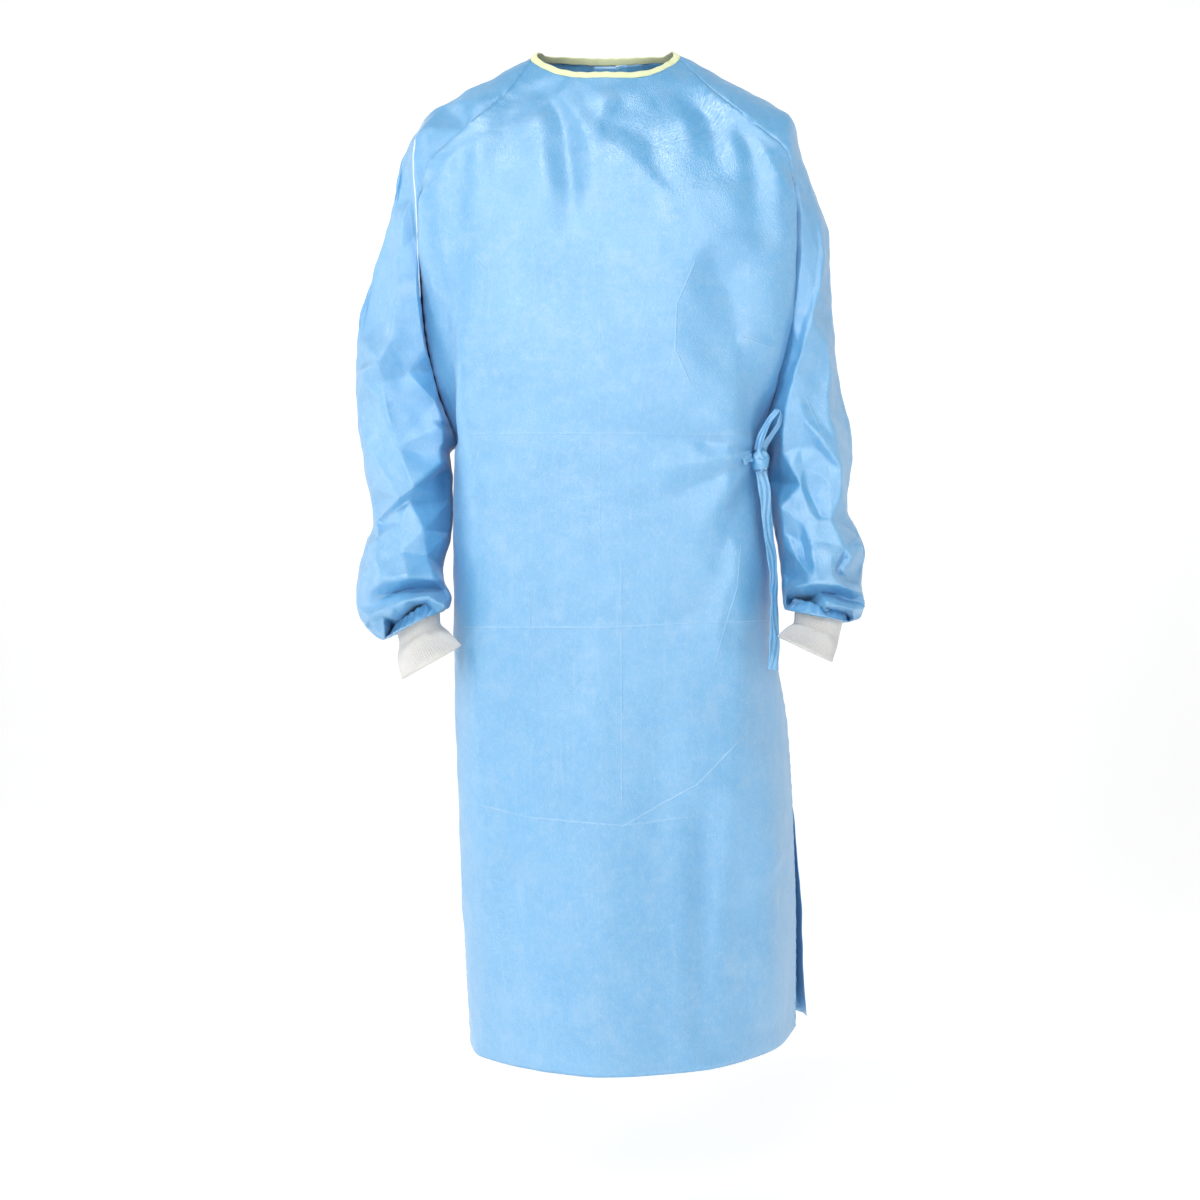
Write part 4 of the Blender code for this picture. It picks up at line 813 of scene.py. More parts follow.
SLEEVE_BACK_FOLDS = table(
    FOLD_COLUMNS,
    (0.262, -0.170, 0.236, -0.390, 0.006, 0.014, 0.0100, 1.7, 0.3),
    (0.240, -0.250, 0.222, -0.420, 0.000, 0.012, -0.0050, 1.4, 0.0),
    (0.285, -0.430, 0.220, -0.495, 0.006, 0.012, 0.0100, 1.5, 0.3),       # elbow from behind
    (0.292, -0.470, 0.215, -0.512, 0.004, 0.011, -0.0070, 1.2, 0.2),
    (0.290, -0.520, 0.212, -0.548, 0.003, 0.010, 0.0090, 1.5, 0.0),
    (0.262, -0.540, 0.240, -0.610, 0.000, 0.011, -0.0060, 1.2, 0.3),
    (0.298, -0.590, 0.218, -0.604, 0.004, 0.011, -0.0080, 1.3, 0.0),
    (0.292, -0.630, 0.222, -0.642, 0.003, 0.009, 0.0090, 1.5, 0.2),
    (0.300, -0.655, 0.240, -0.668, 0.003, 0.009, -0.0060, 1.3, 0.0),
)


def back_seam(side, station):
    """Back raglan seam down to the underarm, then the side seam, on side -1 (right) or +1."""
    front = FRONT_RIGHT if side < 0 else FRONT_LEFT
    yoke = read_points(RAGLAN_BACK, "", np.minimum(station, UNDERARM)) * [side, 1, 1]
    return np.where((station >= UNDERARM)[:, None], read_points(front, "seam_", station), yoke)


def sleeve_points(side, station, turn):
    """Sleeve from its front seam (turn 0) over the arm to its back seam (turn 1).

    A cosine takes it from seam to seam, a squared sine out to the outer line, and a doubled sine gives
    half the depth to the front and half to the back.
    """
    yoke = YOKE_SLEEVE_RIGHT if side < 0 else YOKE_SLEEVE_LEFT
    arm = ARM_RIGHT if side < 0 else ARM_LEFT
    front = FRONT_RIGHT if side < 0 else FRONT_LEFT
    joined = {
        "outer_x": np.append(yoke["outer_x"], arm["outer_x"]),
        "outer_y": np.append(yoke["outer_y"], arm["y"]),
        "outer_z": np.append(yoke["outer_z"], arm["outer_z"]),
        "depth": np.append(yoke["depth"], arm["depth"]),
        "pinch": np.append(yoke["pinch"], 0 * arm["y"]),
    }
    inner = {axis: np.append(front["seam_" + axis][:UNDERARM + 1], arm[column])
             for axis, column in (("x", "inner_x"), ("y", "y"), ("z", "inner_z"))}
    yoke_rows = np.minimum(station, UNDERARM)
    in_yoke = (station <= UNDERARM)[:, None]
    down = read_points(inner, "", station)
    start = np.where(in_yoke, read_points(front, "seam_", yoke_rows), down)
    end = np.where(in_yoke, back_seam(side, yoke_rows), down)
    top = read_points(joined, "outer_", station)
    middle = 0.5 * (start + end)[:, None]
    half = 0.5 * (start - end)[:, None]
    out = top[:, None] - middle
    angle = np.pi * turn[None, :]
    pinch = read(joined, "pinch", station)[:, None]
    swell = np.sin(2 * angle) * np.maximum(np.sin(angle), 1e-9) ** pinch * (1 + 0.3 * pinch)
    depth = -read(joined, "depth", station)[:, None] * swell
    bulge = points(0 * depth, depth, 0 * depth)
    return middle + half * np.cos(angle)[..., None] + out * (np.sin(angle) ** 2)[..., None] + bulge


def between_rings(index):
    """Four-cornered faces from each ring to the next, from the numbers of the rings' points."""
    here, after = index[..., :-1, :], index[..., 1:, :]
    round_here, round_after = np.roll(here, -1, axis=-1), np.roll(after, -1, axis=-1)
    return np.stack([here, round_here, round_after, after], axis=-1).reshape(-1, 4).tolist()


ASLANT = np.array([0.17, 0.31, 0.93])   # a direction that no cord runs in


def rope(name, line, radius, sides, look, closed):
    """A round cord: circles across a line of points, of one radius or one for each point."""
    along = np.gradient(line, axis=0)
    if closed:
        along = np.roll(line, -1, axis=0) - np.roll(line, 1, axis=0)
    along = unit(along)
    first = unit(np.cross(along, ASLANT))
    second = np.cross(along, first)
    angle = np.linspace(0, 2 * np.pi, sides, endpoint=False)
    size = np.broadcast_to(radius, (len(line),))[:, None, None]
    ring = line[:, None] + size * (first[:, None] * np.cos(angle)[None, :, None]
                                   + second[:, None] * np.sin(angle)[None, :, None])
    index = np.arange(len(line) * sides).reshape(len(line), sides)
    if closed:
        return smooth_object(name, ring, between_rings(np.vstack([index, index[:1]])), look)
    ends = [index[0, ::-1].tolist(), index[-1].tolist()]
    return smooth_object(name, ring, between_rings(index) + ends, look)


def gathers(grid, from_row):
    """Small pleats where the end of the sleeve is drawn into the cuff: uneven waves round the arm."""
    rows, columns = grid.shape[:2]
    near_end = ease(from_row, rows - 1, np.arange(rows, dtype=float))[:, None] ** 1.6
    turn = np.linspace(0, 1, columns)[None, :]
    waves = np.sin(2 * np.pi * GATHERS * turn + 1.9 * np.sin(2 * np.pi * 3 * turn))
    uneven = 0.75 + 0.25 * np.sin(2 * np.pi * 5 * turn + 0.8)
    return GATHER_DEPTH * near_end * (waves * uneven - 1)


arm_rows = np.linspace(UNDERARM, UNDERARM + len(ARM_RIGHT["y"]), ARM_STEPS + 1)
sleeve_rows = np.append(yoke_rows, arm_rows[1:])
sleeve_turn = np.linspace(0, 1, SLEEVE_COLUMNS)
sleeve_cloth = nonwoven("sleeve_nonwoven", SLEEVE_CREASES)
mirrored = {column: -SLEEVE_BACK_FOLDS[column] for column in ("from_x", "to_x", "skew", "bow")}
back_to_right = dict(SLEEVE_BACK_FOLDS, **mirrored)
plain_sleeves, sleeve_ends = {}, {}
for name, side, outward, front_folds, crumple, back_folds, phase in (
        ("right", -1, -1, SLEEVE_RIGHT_FOLDS, SLEEVE_RIGHT_CRUMPLE, back_to_right, 0.7),
        ("left", 1, 1, SLEEVE_LEFT_FOLDS, SLEEVE_LEFT_CRUMPLE, SLEEVE_BACK_FOLDS, 2.3)):
    plain_sleeves[name] = sleeve_points(side, sleeve_rows, sleeve_turn)
    grid = plain_sleeves[name]
    seam_fade = edge_fade(SLEEVE_COLUMNS, 0.03)
    row = np.arange(len(sleeve_rows), dtype=float)[:, None]
    below = ease(YOKE_STEPS + SEAM_FREE[0], YOKE_STEPS + SEAM_FREE[1], row)
    smooth_end = ease(len(sleeve_rows) - SMOOTH_END[0], len(sleeve_rows) - SMOOTH_END[1], row)
    fade = (seam_fade + (1 - seam_fade) * below) * (1 - smooth_end)
    grid = dressed(grid, outward, -1, front_folds, fade, FOLD_GAIN)
    normal = grid_normals(grid, outward)
    grid = crumpled(grid, normal, crumple, CRUMPLE_GAIN, fade)
    grid = dressed(grid, outward, 1, back_folds, fade)
    depth = sum(deep * swells(grid, size, phase + later) for deep, size, later in ARM_SWELLS) * fade
    depth += gathers(grid, YOKE_STEPS + ARM_STEPS - GATHER_ROWS)
    depth += seam_pull(grid, True, raglan) + seam_pull(grid, False, raglan)
    grid = grid - grid_normals(grid, outward) * depth[..., None]
    grid[YOKE_STEPS:, -1] = grid[YOKE_STEPS:, 0]
    sleeve_ends[name] = grid[-1]
    if name == "right":
        right_front = grid[grid_normals(grid, outward)[..., 1] < FACES_FRONT]
    sleeve = cloth_sheet("sleeve_" + name + "_cloth", grid, outward, CLOTH_THICK, sleeve_cloth, YOKE_STEPS)
    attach(sleeve, "root")
    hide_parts("sleeve_" + name)


# A pale cord along the fold edge of the pleat beside the front seam: a painted highlight where that edge
# catches the light.
PLEAT_HIGHLIGHT_RADIUS = 0.0011
PLEAT_HIGHLIGHT_OFF = 0.0008        # how far its middle stands in front of the cloth
PLEAT_HIGHLIGHT_POINTS = 120        # along it
PLEAT_EDGE = table(
    "x z",
    (-0.2190, -0.083), (-0.2245, -0.098), (-0.2275, -0.115), (-0.2290, -0.135), (-0.2285, -0.158),
    (-0.2265, -0.182), (-0.2255, -0.208), (-0.2250, -0.236), (-0.2235, -0.268), (-0.2215, -0.300),
)


def speckled(name, scale, detail, first, second, **settings):
    """A plain material whose colour goes between two by a noise on the object's own coordinates."""
    look, tree, shader = material(name, **settings)
    place = add(tree, "ShaderNodeTexCoord").outputs["Object"]
    speck = add(tree, "ShaderNodeTexNoise", {"Vector": place, "Scale": scale, "Detail": detail})
    tree.links.new(mixed(tree, speck.outputs[0], first, second), shader.inputs["Base Color"])
    return look


# Near-white speckle for the cord: the colour of the painted highlight on the pleat's edge.
pleat_highlight = speckled("pleat_highlight", 1500.0, 4.0, (0.90, 0.93, 0.96, 1), (0.62, 0.76, 0.90, 1), Roughness=0.7)
run = np.linspace(0, len(PLEAT_EDGE["x"]) - 1, PLEAT_HIGHLIGHT_POINTS)
pleat_x, pleat_z = (read(PLEAT_EDGE, name, run) for name in "xz")
towards = right_front[:, None]
nearest = ((towards[..., 0] - pleat_x) ** 2 + (towards[..., 2] - pleat_z) ** 2).argmin(axis=0)
pleat_y = near_mean(right_front[nearest, 1][:, None], 5, 1)[:, 0]
thin_ends = np.sin(np.pi * np.linspace(0.04, 0.97, len(run))) ** 0.5
pleat = points(pleat_x, pleat_y - PLEAT_HIGHLIGHT_OFF, pleat_z)
raw = rope("sleeve_right_raw_edge", pleat, PLEAT_HIGHLIGHT_RADIUS * thin_ends, 6, pleat_highlight, False)
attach(raw, "root")


# ---------------------------------------------------------------- backs
# Two plain panels of the same nonwoven. The outer one is sewn to the wearer's right side and laps
# over the inner one, which is sewn to the left side. Their free edges are cut, not hemmed.
BACK_COLUMNS = 67
LAP = 0.004             # how far the outer back stands out over the inner one
TUCK = 0.009            # how far the inner back is drawn in where it is covered
HEM_FLARE = 0.010       # the free edge stands off the body at the hem
# Depth at the middle and points at the shoulder blades, then the shares round the back at which the
# outer panel ends and the inner one begins.
BACK = table(
    "z y right_x right_y left_x left_y outer_to inner_from",
    (0.006, 0.072, -0.044, 0.063, 0.044, 0.063, 0.57, 0.42),
    (-0.040, 0.091, -0.068, 0.087, 0.068, 0.087, 0.575, 0.41),
    (-0.086, 0.107, -0.094, 0.105, 0.094, 0.105, 0.58, 0.40),
    (-0.135, 0.121, -0.116, 0.120, 0.116, 0.120, 0.59, 0.39),
    (-0.185, 0.131, -0.134, 0.130, 0.134, 0.130, 0.61, 0.38),
    (-0.240, 0.137, -0.146, 0.135, 0.146, 0.135, 0.64, 0.36),
    (-0.330, 0.139, -0.150, 0.134, 0.150, 0.134, 0.70, 0.34),
    (-0.400, 0.136, -0.150, 0.128, 0.150, 0.128, 0.76, 0.32),
    (-0.448, 0.132, -0.143, 0.120, 0.143, 0.120, 0.80, 0.31),
    (-0.470, 0.130, -0.141, 0.116, 0.141, 0.116, 0.82, 0.30),
    (-0.520, 0.128, -0.142, 0.112, 0.142, 0.113, 0.85, 0.30),
    (-0.600, 0.130, -0.146, 0.113, 0.156, 0.118, 0.87, 0.30),
    (-0.700, 0.134, -0.143, 0.116, 0.176, 0.126, 0.88, 0.30),
    (-0.820, 0.140, -0.140, 0.121, 0.198, 0.142, 0.89, 0.30),
    (-0.940, 0.148, -0.136, 0.126, 0.218, 0.160, 0.89, 0.30),
    (-1.080, 0.158, -0.130, 0.132, 0.236, 0.182, 0.88, 0.30),
    (-1.198, 0.168, -0.124, 0.138, 0.246, 0.200, 0.87, 0.30),
)
BODY_BACK_FOLDS = table(
    FOLD_COLUMNS,
    (-0.125, -0.110, -0.100, -0.310, 0.006, 0.018, 0.0090, 1.8, 0.2),
    (-0.160, -0.200, -0.140, -0.400, 0.004, 0.014, -0.0040, 1.4, 0.0),
    (0.125, -0.110, 0.105, -0.290, -0.006, 0.018, 0.0080, 1.8, -0.2),
    (-0.030, -0.060, -0.045, -0.250, 0.000, 0.018, 0.0050, 2.0, 0.0),
    (-0.075, -0.140, -0.070, -0.420, 0.000, 0.016, -0.0040, 1.6, 0.0),
    (-0.060, -0.525, 0.120, -0.492, 0.004, 0.014, 0.0050, 1.7, 0.0),
    (-0.070, -0.470, 0.110, -0.474, 0.004, 0.012, -0.0030, 1.5, 0.0),
    (-0.130, -0.560, -0.020, -0.500, 0.004, 0.014, 0.0050, 1.7, 0.0),
    (-0.090, -0.640, -0.082, -1.210, 0.000, 0.026, 0.0090, 2.0, 0.1),
    (0.005, -0.600, 0.018, -1.210, 0.000, 0.028, -0.0080, 2.0, 0.0),
    (0.055, -0.800, 0.064, -1.210, 0.000, 0.018, 0.0040, 2.0, 0.0),
    (0.090, -0.620, 0.112, -1.210, 0.000, 0.024, 0.0080, 2.0, 0.0),
)
BACK_CREASES = table(
    CREASE_COLUMNS,
    (-0.150, -0.694, 0.180, -0.692, 0.7), (-0.140, -0.915, 0.200, -0.912, 0.7),
    (-0.145, -0.470, 0.120, -0.468, 0.5), (-0.002, -0.200, 0.002, -1.190, 0.5),
    (-0.090, -0.780, -0.030, -0.700, 0.6), (0.070, -1.020, 0.110, -0.930, 0.6),
)


def back_points(station, v):
    """Back of the body, at shares v (rows by columns) from the right seam round to the left.

    A smooth curve runs through five points a section: both seams, both shoulder blades and the middle.
    """
    z = read(BACK, "z", station)
    right, left = (points(read(BACK, side + "_x", station), read(BACK, side + "_y", station), z)
                   for side in ("right", "left"))
    middle = points(0.5 * (right[:, 0] + left[:, 0]), read(BACK, "y", station), z)
    through = np.stack([back_seam(-1, station), right, middle, left, back_seam(1, station)], axis=-1)
    keys = np.array([0, 0.25, 0.5, 0.75, 1])
    return np.array([smooth(row, keys, through[i]).T for i, row in enumerate(v)])


def clear_of_seams(v):
    """1 on the back, falling to 0 over the last 7 parts in a hundred at both seams."""
    return np.clip((1 - np.abs(2 * v - 1)) / 0.14, 0, 1)


back_cloth = nonwoven("back_nonwoven", BACK_CREASES)
share = np.linspace(0, 1, BACK_COLUMNS)[None, :]
cover = read(BACK, "outer_to", body_rows)[:, None]

outer_v = share * cover
plain_outer = back_points(body_rows, outer_v)
outer_grid = dressed(plain_outer, -1, 1, BODY_BACK_FOLDS, clear_of_seams(outer_v))
lift = LAP * ease(0.06, 0.24, outer_v)
lift = lift + HEM_FLARE * ease(0.80, 1.0, share) * ease(11, HEM, body_rows)[:, None]
loose = SWELL_DEPTH * swells(outer_grid, SWELL_SIZE, 2.2) + 0.0014 * swells(outer_grid, 0.2, 0.3)
lift = lift - loose * ease(0, 0.08, outer_v) - seam_pull(outer_grid, True, every_row)
outer_grid = outer_grid + grid_normals(outer_grid, -1) * lift[..., None]

start = read(BACK, "inner_from", body_rows)[:, None]
inner_v = start + share * (1 - start)
plain_inner = back_points(body_rows, inner_v)
bare = ease(cover + 0.01, cover + 0.07, inner_v)
inner_grid = dressed(plain_inner, -1, 1, BODY_BACK_FOLDS, bare * clear_of_seams(inner_v))
loose = SWELL_DEPTH * swells(inner_grid, SWELL_SIZE, 1.2)
sink = TUCK * (1 - bare) + loose * bare * ease(0, 0.08, 1 - inner_v)
sink = sink + seam_pull(inner_grid, False, every_row)
inner_grid = inner_grid - grid_normals(inner_grid, -1) * sink[..., None]

for name, grid, width, area in (("outer", outer_grid, 0.50, 0.50), ("inner", inner_grid, 0.44, 0.43)):
    panel = cloth_sheet("back_" + name + "_cloth", grid, -1, CLOTH_THICK, back_cloth)
    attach(panel, "root")
    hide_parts("back_panel_" + name)


# ---------------------------------------------------------------- cuffs
# Tubes of off-white rib knit, tight on the wrist. Each is overlocked into the end of its sleeve, and
# the overlocking's looped thread shows as an uneven white edge round the join.
KNIT_THICK = 0.0020
RIBS = 78
CUFF_COLUMNS = 5 * RIBS + 1
CUFF_STEPS = 30
RIB_DEPTH = 0.00045
CUFF_BELLY = 0.0012         # how far the cuff's middle stands out
CUFF_LIP = 0.0006           # how far its end flares
CUFF_SINK = 0.0010          # how far the knit lies inside its rings' outer line
KNIT_WHITE = (0.72, 0.705, 0.68, 1)
# Grey of the painted shade in the hollows between the knit's loops.
KNIT_SHADE = (0.53, 0.52, 0.50, 1)
KNIT_FUZZ = (0.66, 0.645, 0.61, 1)
OVERLOCK_POINTS = 1100      # along the thread round one join
OVERLOCK_LOOPS = 110
OVERLOCK_RADIUS = 0.00042
OVERLOCK_DROP = 0.0032      # how far the thread lies below the sleeve's end
OVERLOCK_OFF = 0.0012       # how far it stands out of the join
OVERLOCK_SWING = 0.0006     # how far its loops swing in and out
OVERLOCK_RISE = 0.0012      # and up and down
CUFF_RIGHT = table(
    "outer_x outer_z inner_x inner_z y depth",
    (-0.2478, -0.6900, -0.1998, -0.6600, -0.0730, 0.0305),
    (-0.2470, -0.6980, -0.1990, -0.6705, -0.0730, 0.0305),
    (-0.2440, -0.7150, -0.1985, -0.6890, -0.0735, 0.0300),
    (-0.2455, -0.7330, -0.1860, -0.7010, -0.0850, 0.0300),
    (-0.2390, -0.7550, -0.1700, -0.7155, -0.1060, 0.0325),
)
CUFF_LEFT = table(
    "outer_x outer_z inner_x inner_z y depth",
    (0.2815, -0.6755, 0.2268, -0.6620, -0.0730, 0.0305),
    (0.2810, -0.6840, 0.2266, -0.6720, -0.0730, 0.0305),
    (0.2770, -0.7020, 0.2260, -0.6885, -0.0735, 0.0300),
    (0.2730, -0.7175, 0.2145, -0.6960, -0.0850, 0.0300),
    (0.2660, -0.7345, 0.2026, -0.7045, -0.1060, 0.0325),
)


def tube_points(columns, at, turn):
    """A tube through rings given by their inner and outer points, middle in Y and half depth."""
    col = {name: read(columns, name, at)[:, None] for name in columns}
    angle = np.pi * turn[None, :]
    across = np.sin(angle) ** 2
    return points(col["inner_x"] + (col["outer_x"] - col["inner_x"]) * across,
                  col["y"] - col["depth"] * np.sin(2 * angle),
                  col["inner_z"] + (col["outer_z"] - col["inner_z"]) * across)


def knit(name):
    """Rib knit: loops in columns along the arm, greyer between the ribs as painted shade in the hollows, soft
    and matt.
    """
    look, tree, shader = material(name, Roughness=0.9, Specular_IOR_Level=0.2, Sheen_Weight=0.3)
    where = add(tree, "ShaderNodeTexCoord")
    loops = add(tree, "ShaderNodeMapping", {"Vector": where.outputs["UV"], "Scale": (1.0, 1.6, 1.0)})
    stitch = add(tree, "ShaderNodeTexVoronoi", {"Vector": loops.outputs[0], "Scale": 760.0,
                                                "Randomness": 0.5}, voronoi_dimensions="2D")
    fuzz = add(tree, "ShaderNodeTexNoise", {"Vector": where.outputs["Object"], "Scale": 55.0, "Detail": 5.0})
    # Greyer towards the edges of the loops: painted shade in the hollows between them.
    colour = mixed(tree, ranged(tree, stitch.outputs["Distance"], 0.1, 0.7, 0.0, 0.6), KNIT_WHITE, KNIT_SHADE)
    colour = mixed(tree, ranged(tree, fuzz.outputs[0], 0.35, 0.7, 0.0, 0.4), colour, KNIT_FUZZ)
    raised = add(tree, "ShaderNodeBump", {"Strength": 0.5, "Distance": 0.0004,
                                          "Height": stitch.outputs["Distance"]})
    raised.invert = True
    tree.links.new(colour, shader.inputs["Base Color"])
    tree.links.new(raised.outputs[0], shader.inputs["Normal"])
    return look


cuff_knit = knit("rib_knit")
thread = speckled("overlock_thread", 2500.0, 3.0, (0.88, 0.88, 0.87, 1), (0.72, 0.75, 0.80, 1), Roughness=0.8)

for name, columns, outward in (("right", CUFF_RIGHT, -1), ("left", CUFF_LEFT, 1)):
    at = np.linspace(0, len(columns["y"]) - 1, CUFF_STEPS + 1)
    rings = tube_points(columns, at, np.linspace(0, 1, CUFF_COLUMNS))
    rings[:, -1] = rings[:, 0]
    normal = grid_normals(rings, outward)
    normal[:, 0] = normal[:, -1] = (normal[:, 0] + normal[:, -1]) / 2
    rib = np.cos(np.linspace(0, 2 * np.pi * RIBS, CUFF_COLUMNS))[None, :]
    down = np.linspace(0, 1, CUFF_STEPS + 1)[:, None]
    bow = CUFF_BELLY * np.sin(np.pi * down) + CUFF_LIP * ease(0.94, 1.0, down)
    rings = rings + normal * (RIB_DEPTH * rib * (1 - 0.5 * ease(0.93, 1, down)) + bow - CUFF_SINK)[..., None]
    rings[:, -1] = rings[:, 0]
    cuff = cloth_sheet("cuff_" + name + "_knit", rings, outward, KNIT_THICK, cuff_knit, 0)
    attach(cuff, "root")
    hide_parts("cuff_" + name)
    around = np.linalg.norm(np.diff(rings[CUFF_STEPS // 2], axis=0), axis=1).sum()

    # Overlocking: a looped thread wound over the raw edge of the join.
    edge = sleeve_ends[name][:-1]
    around = np.linspace(0, len(edge), OVERLOCK_POINTS, endpoint=False)
    whole = np.vstack([edge, edge[:1]])
    line = between(around, np.arange(len(whole)), whole)
    out = unit(line - line.mean(axis=0))
    wave = np.linspace(0, 2 * np.pi * OVERLOCK_LOOPS, len(line), endpoint=False)
    line = line + out * (OVERLOCK_OFF + OVERLOCK_SWING * np.sin(wave))[:, None]
    line = line + np.array([0, 0, 1]) * (OVERLOCK_RISE * np.cos(wave) - OVERLOCK_DROP)[:, None]
    serging = rope("cuff_" + name + "_overlock", line, OVERLOCK_RADIUS, 6, thread, True)
    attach(serging, "root")


# ---------------------------------------------------------------- neck binding
# A strip of pale yellow-green nonwoven, folded over the raw neck edge and run down with one line of
# stitches. It starts and ends at the back opening.
BINDING_WIDTH = 0.0092
BINDING_THICK = 0.0026
BINDING_LIFT = 0.0005
BINDING_OVERLAP = 0.0012    # how far the strip reaches down over the cloth's edge
BINDING_DEEP = (0.700, 0.760, 0.420, 1)
BINDING_PALE = (0.800, 0.840, 0.560, 1)
BINDING_PATCH = (0.760, 0.800, 0.500, 1)
RIPPLE = 0.00035            # unevenness of the strip by hand-guided sewing
PROFILE_SIDES = 20
BINDING_POINTS = 460        # along the neck edge
EDGE_PASSES = 30            # how often the neck edge is softened
edge_order = [(plain_outer, -1, -1), (plain_sleeves["right"], -1, -1), (plain_front, 1, 1),
              (plain_sleeves["left"], 1, 1), (plain_inner, -1, -1)]
top, rise, look_out = [], [], []
for grid, outward, order in edge_order:
    keep = slice(None, None, order)
    top.append(grid[0, keep])
    rise.append((grid[0] - grid[4])[keep])
    look_out.append(grid_normals(grid, outward)[0, keep])
top, rise, look_out = np.concatenate(top), np.concatenate(rise), np.concatenate(look_out)
new = np.append(True, np.linalg.norm(np.diff(top, axis=0), axis=1) > 1e-6)
top, rise, look_out = top[new], rise[new], look_out[new]
distance = walked(top, 0)
even = np.linspace(0, distance[-1], BINDING_POINTS)


def resampled(values):
    """Values along the neck edge at even distances, softened by a running mean."""
    level = between(even, distance, values)
    for _ in range(EDGE_PASSES):
        level[1:-1] = (level[:-2] + 2 * level[1:-1] + level[2:]) / 4
    return level


def swept(name, line, wide, out, width, thick, look, sides=PROFILE_SIDES):
    """A flat rounded profile carried along a line: a superellipse in the wide and out directions."""
    angle = np.linspace(0, 2 * np.pi, sides, endpoint=False)
    aside = np.sign(np.cos(angle)) * np.abs(np.cos(angle)) ** 0.45 * width / 2
    above = np.sign(np.sin(angle)) * np.abs(np.sin(angle)) ** 0.75 * thick / 2
    ring = line[:, None] + wide[:, None] * aside[None, :, None] + out[:, None] * above[None, :, None]
    index = np.arange(len(line) * sides).reshape(len(line), sides)
    faces = between_rings(index) + [index[0, ::-1].tolist(), index[-1].tolist()]
    if np.einsum("ij,ij->i", np.cross(wide, out), np.gradient(line, axis=0)).sum() < 0:
        faces = [face[::-1] for face in faces]
    made = smooth_object(name, ring, faces, look)
    run = walked(line, 0)
    uv_point = np.stack(np.broadcast_arrays(run[:, None], aside[None, :]), axis=-1).reshape(-1, 2)
    corners = np.empty(len(made.data.loops), np.int32)
    made.data.loops.foreach_get("vertex_index", corners)
    uv = uv_point[corners].reshape(-1).astype(np.float32)
    made.data.uv_layers.new(name="cut").data.foreach_set("uv", uv)
    return made


line = resampled(top)
out = resampled(look_out)
up = np.cross(np.gradient(line, axis=0), out)
up = unit(up * np.sign((up * resampled(rise)).sum(axis=1, keepdims=True)))
out = unit(out)
ripple = RIPPLE * np.sin(2 * np.pi * even / 0.021 + 2 * np.sin(2 * np.pi * even / 0.13))
line = line + up * (BINDING_LIFT + BINDING_WIDTH / 2 - BINDING_OVERLAP + 0.4 * ripple)[:, None]
line = line + out * ripple[:, None]

binding_look, tree, shader = material("binding_nonwoven", Roughness=0.75, Sheen_Weight=0.2)
where = add(tree, "ShaderNodeTexCoord")
fibres = add(tree, "ShaderNodeTexNoise", {"Vector": where.outputs["UV"], "Scale": 520.0, "Detail": 4.0,
                                          "Roughness": 0.7})
patch = add(tree, "ShaderNodeTexNoise", {"Vector": where.outputs["Object"], "Scale": 45.0, "Detail": 3.0})
colour = mixed(tree, ranged(tree, fibres.outputs[0], 0.3, 0.75), BINDING_DEEP, BINDING_PALE)
colour = mixed(tree, ranged(tree, patch.outputs[0], 0.3, 0.7, 0.0, 0.5), colour, BINDING_PATCH)
raised = add(tree, "ShaderNodeBump", {"Strength": 0.4, "Distance": 0.0003, "Height": fibres.outputs[0]})
tree.links.new(colour, shader.inputs["Base Color"])
tree.links.new(raised.outputs[0], shader.inputs["Normal"])
binding = swept("neck_binding_strip", line, up, out, BINDING_WIDTH, BINDING_THICK, binding_look)
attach(binding, "root")
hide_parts("neck_binding")

# The stitches: short threads that dip into the strip at both ends, 3 mm apart.
STITCH_PITCH = 0.0031
STITCH_LENGTH = 0.0023
STITCH_RINGS = 7
STITCH_SIDES = 5
STITCH_CROWN = 0.00028      # how far the middle of a stitch stands up over its ends
STITCH_RADIUS = 0.00024
STITCH_DIP = 0.0001         # how deep a stitch lies in the strip at its middle line
STITCH_LOW = 0.30           # how far the row lies below the strip's middle, as a share of its width
count = int(distance[-1] / STITCH_PITCH)
middle_at = (np.arange(count) + 0.5) * distance[-1] / count
lengthwise = np.linspace(-0.5, 0.5, STITCH_RINGS)
at = (middle_at[:, None] + STITCH_LENGTH * lengthwise[None, :]).reshape(-1)
on_line, on_up, on_out = (between(at, even, values) for values in (line, up, out))
crown = np.tile(STITCH_CROWN * np.cos(np.pi * lengthwise), count)
spine = on_line - on_up * (STITCH_LOW * BINDING_WIDTH)
spine = spine + on_out * (BINDING_THICK / 2 - STITCH_DIP + crown)[:, None]
ring_angle = np.linspace(0, 2 * np.pi, STITCH_SIDES, endpoint=False)
thin = np.tile(STITCH_RADIUS * np.sqrt(np.maximum(np.cos(np.pi * lengthwise), 0.05)), count)
rings = (spine[:, None] + thin[:, None, None] * (on_up[:, None] * np.cos(ring_angle)[None, :, None]
                                                 + on_out[:, None] * np.sin(ring_angle)[None, :, None]))
index = np.arange(len(spine) * STITCH_SIDES).reshape(count, STITCH_RINGS, STITCH_SIDES)
stitches = smooth_object("neck_stitches", rings, between_rings(index), binding_look)
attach(stitches, "root")


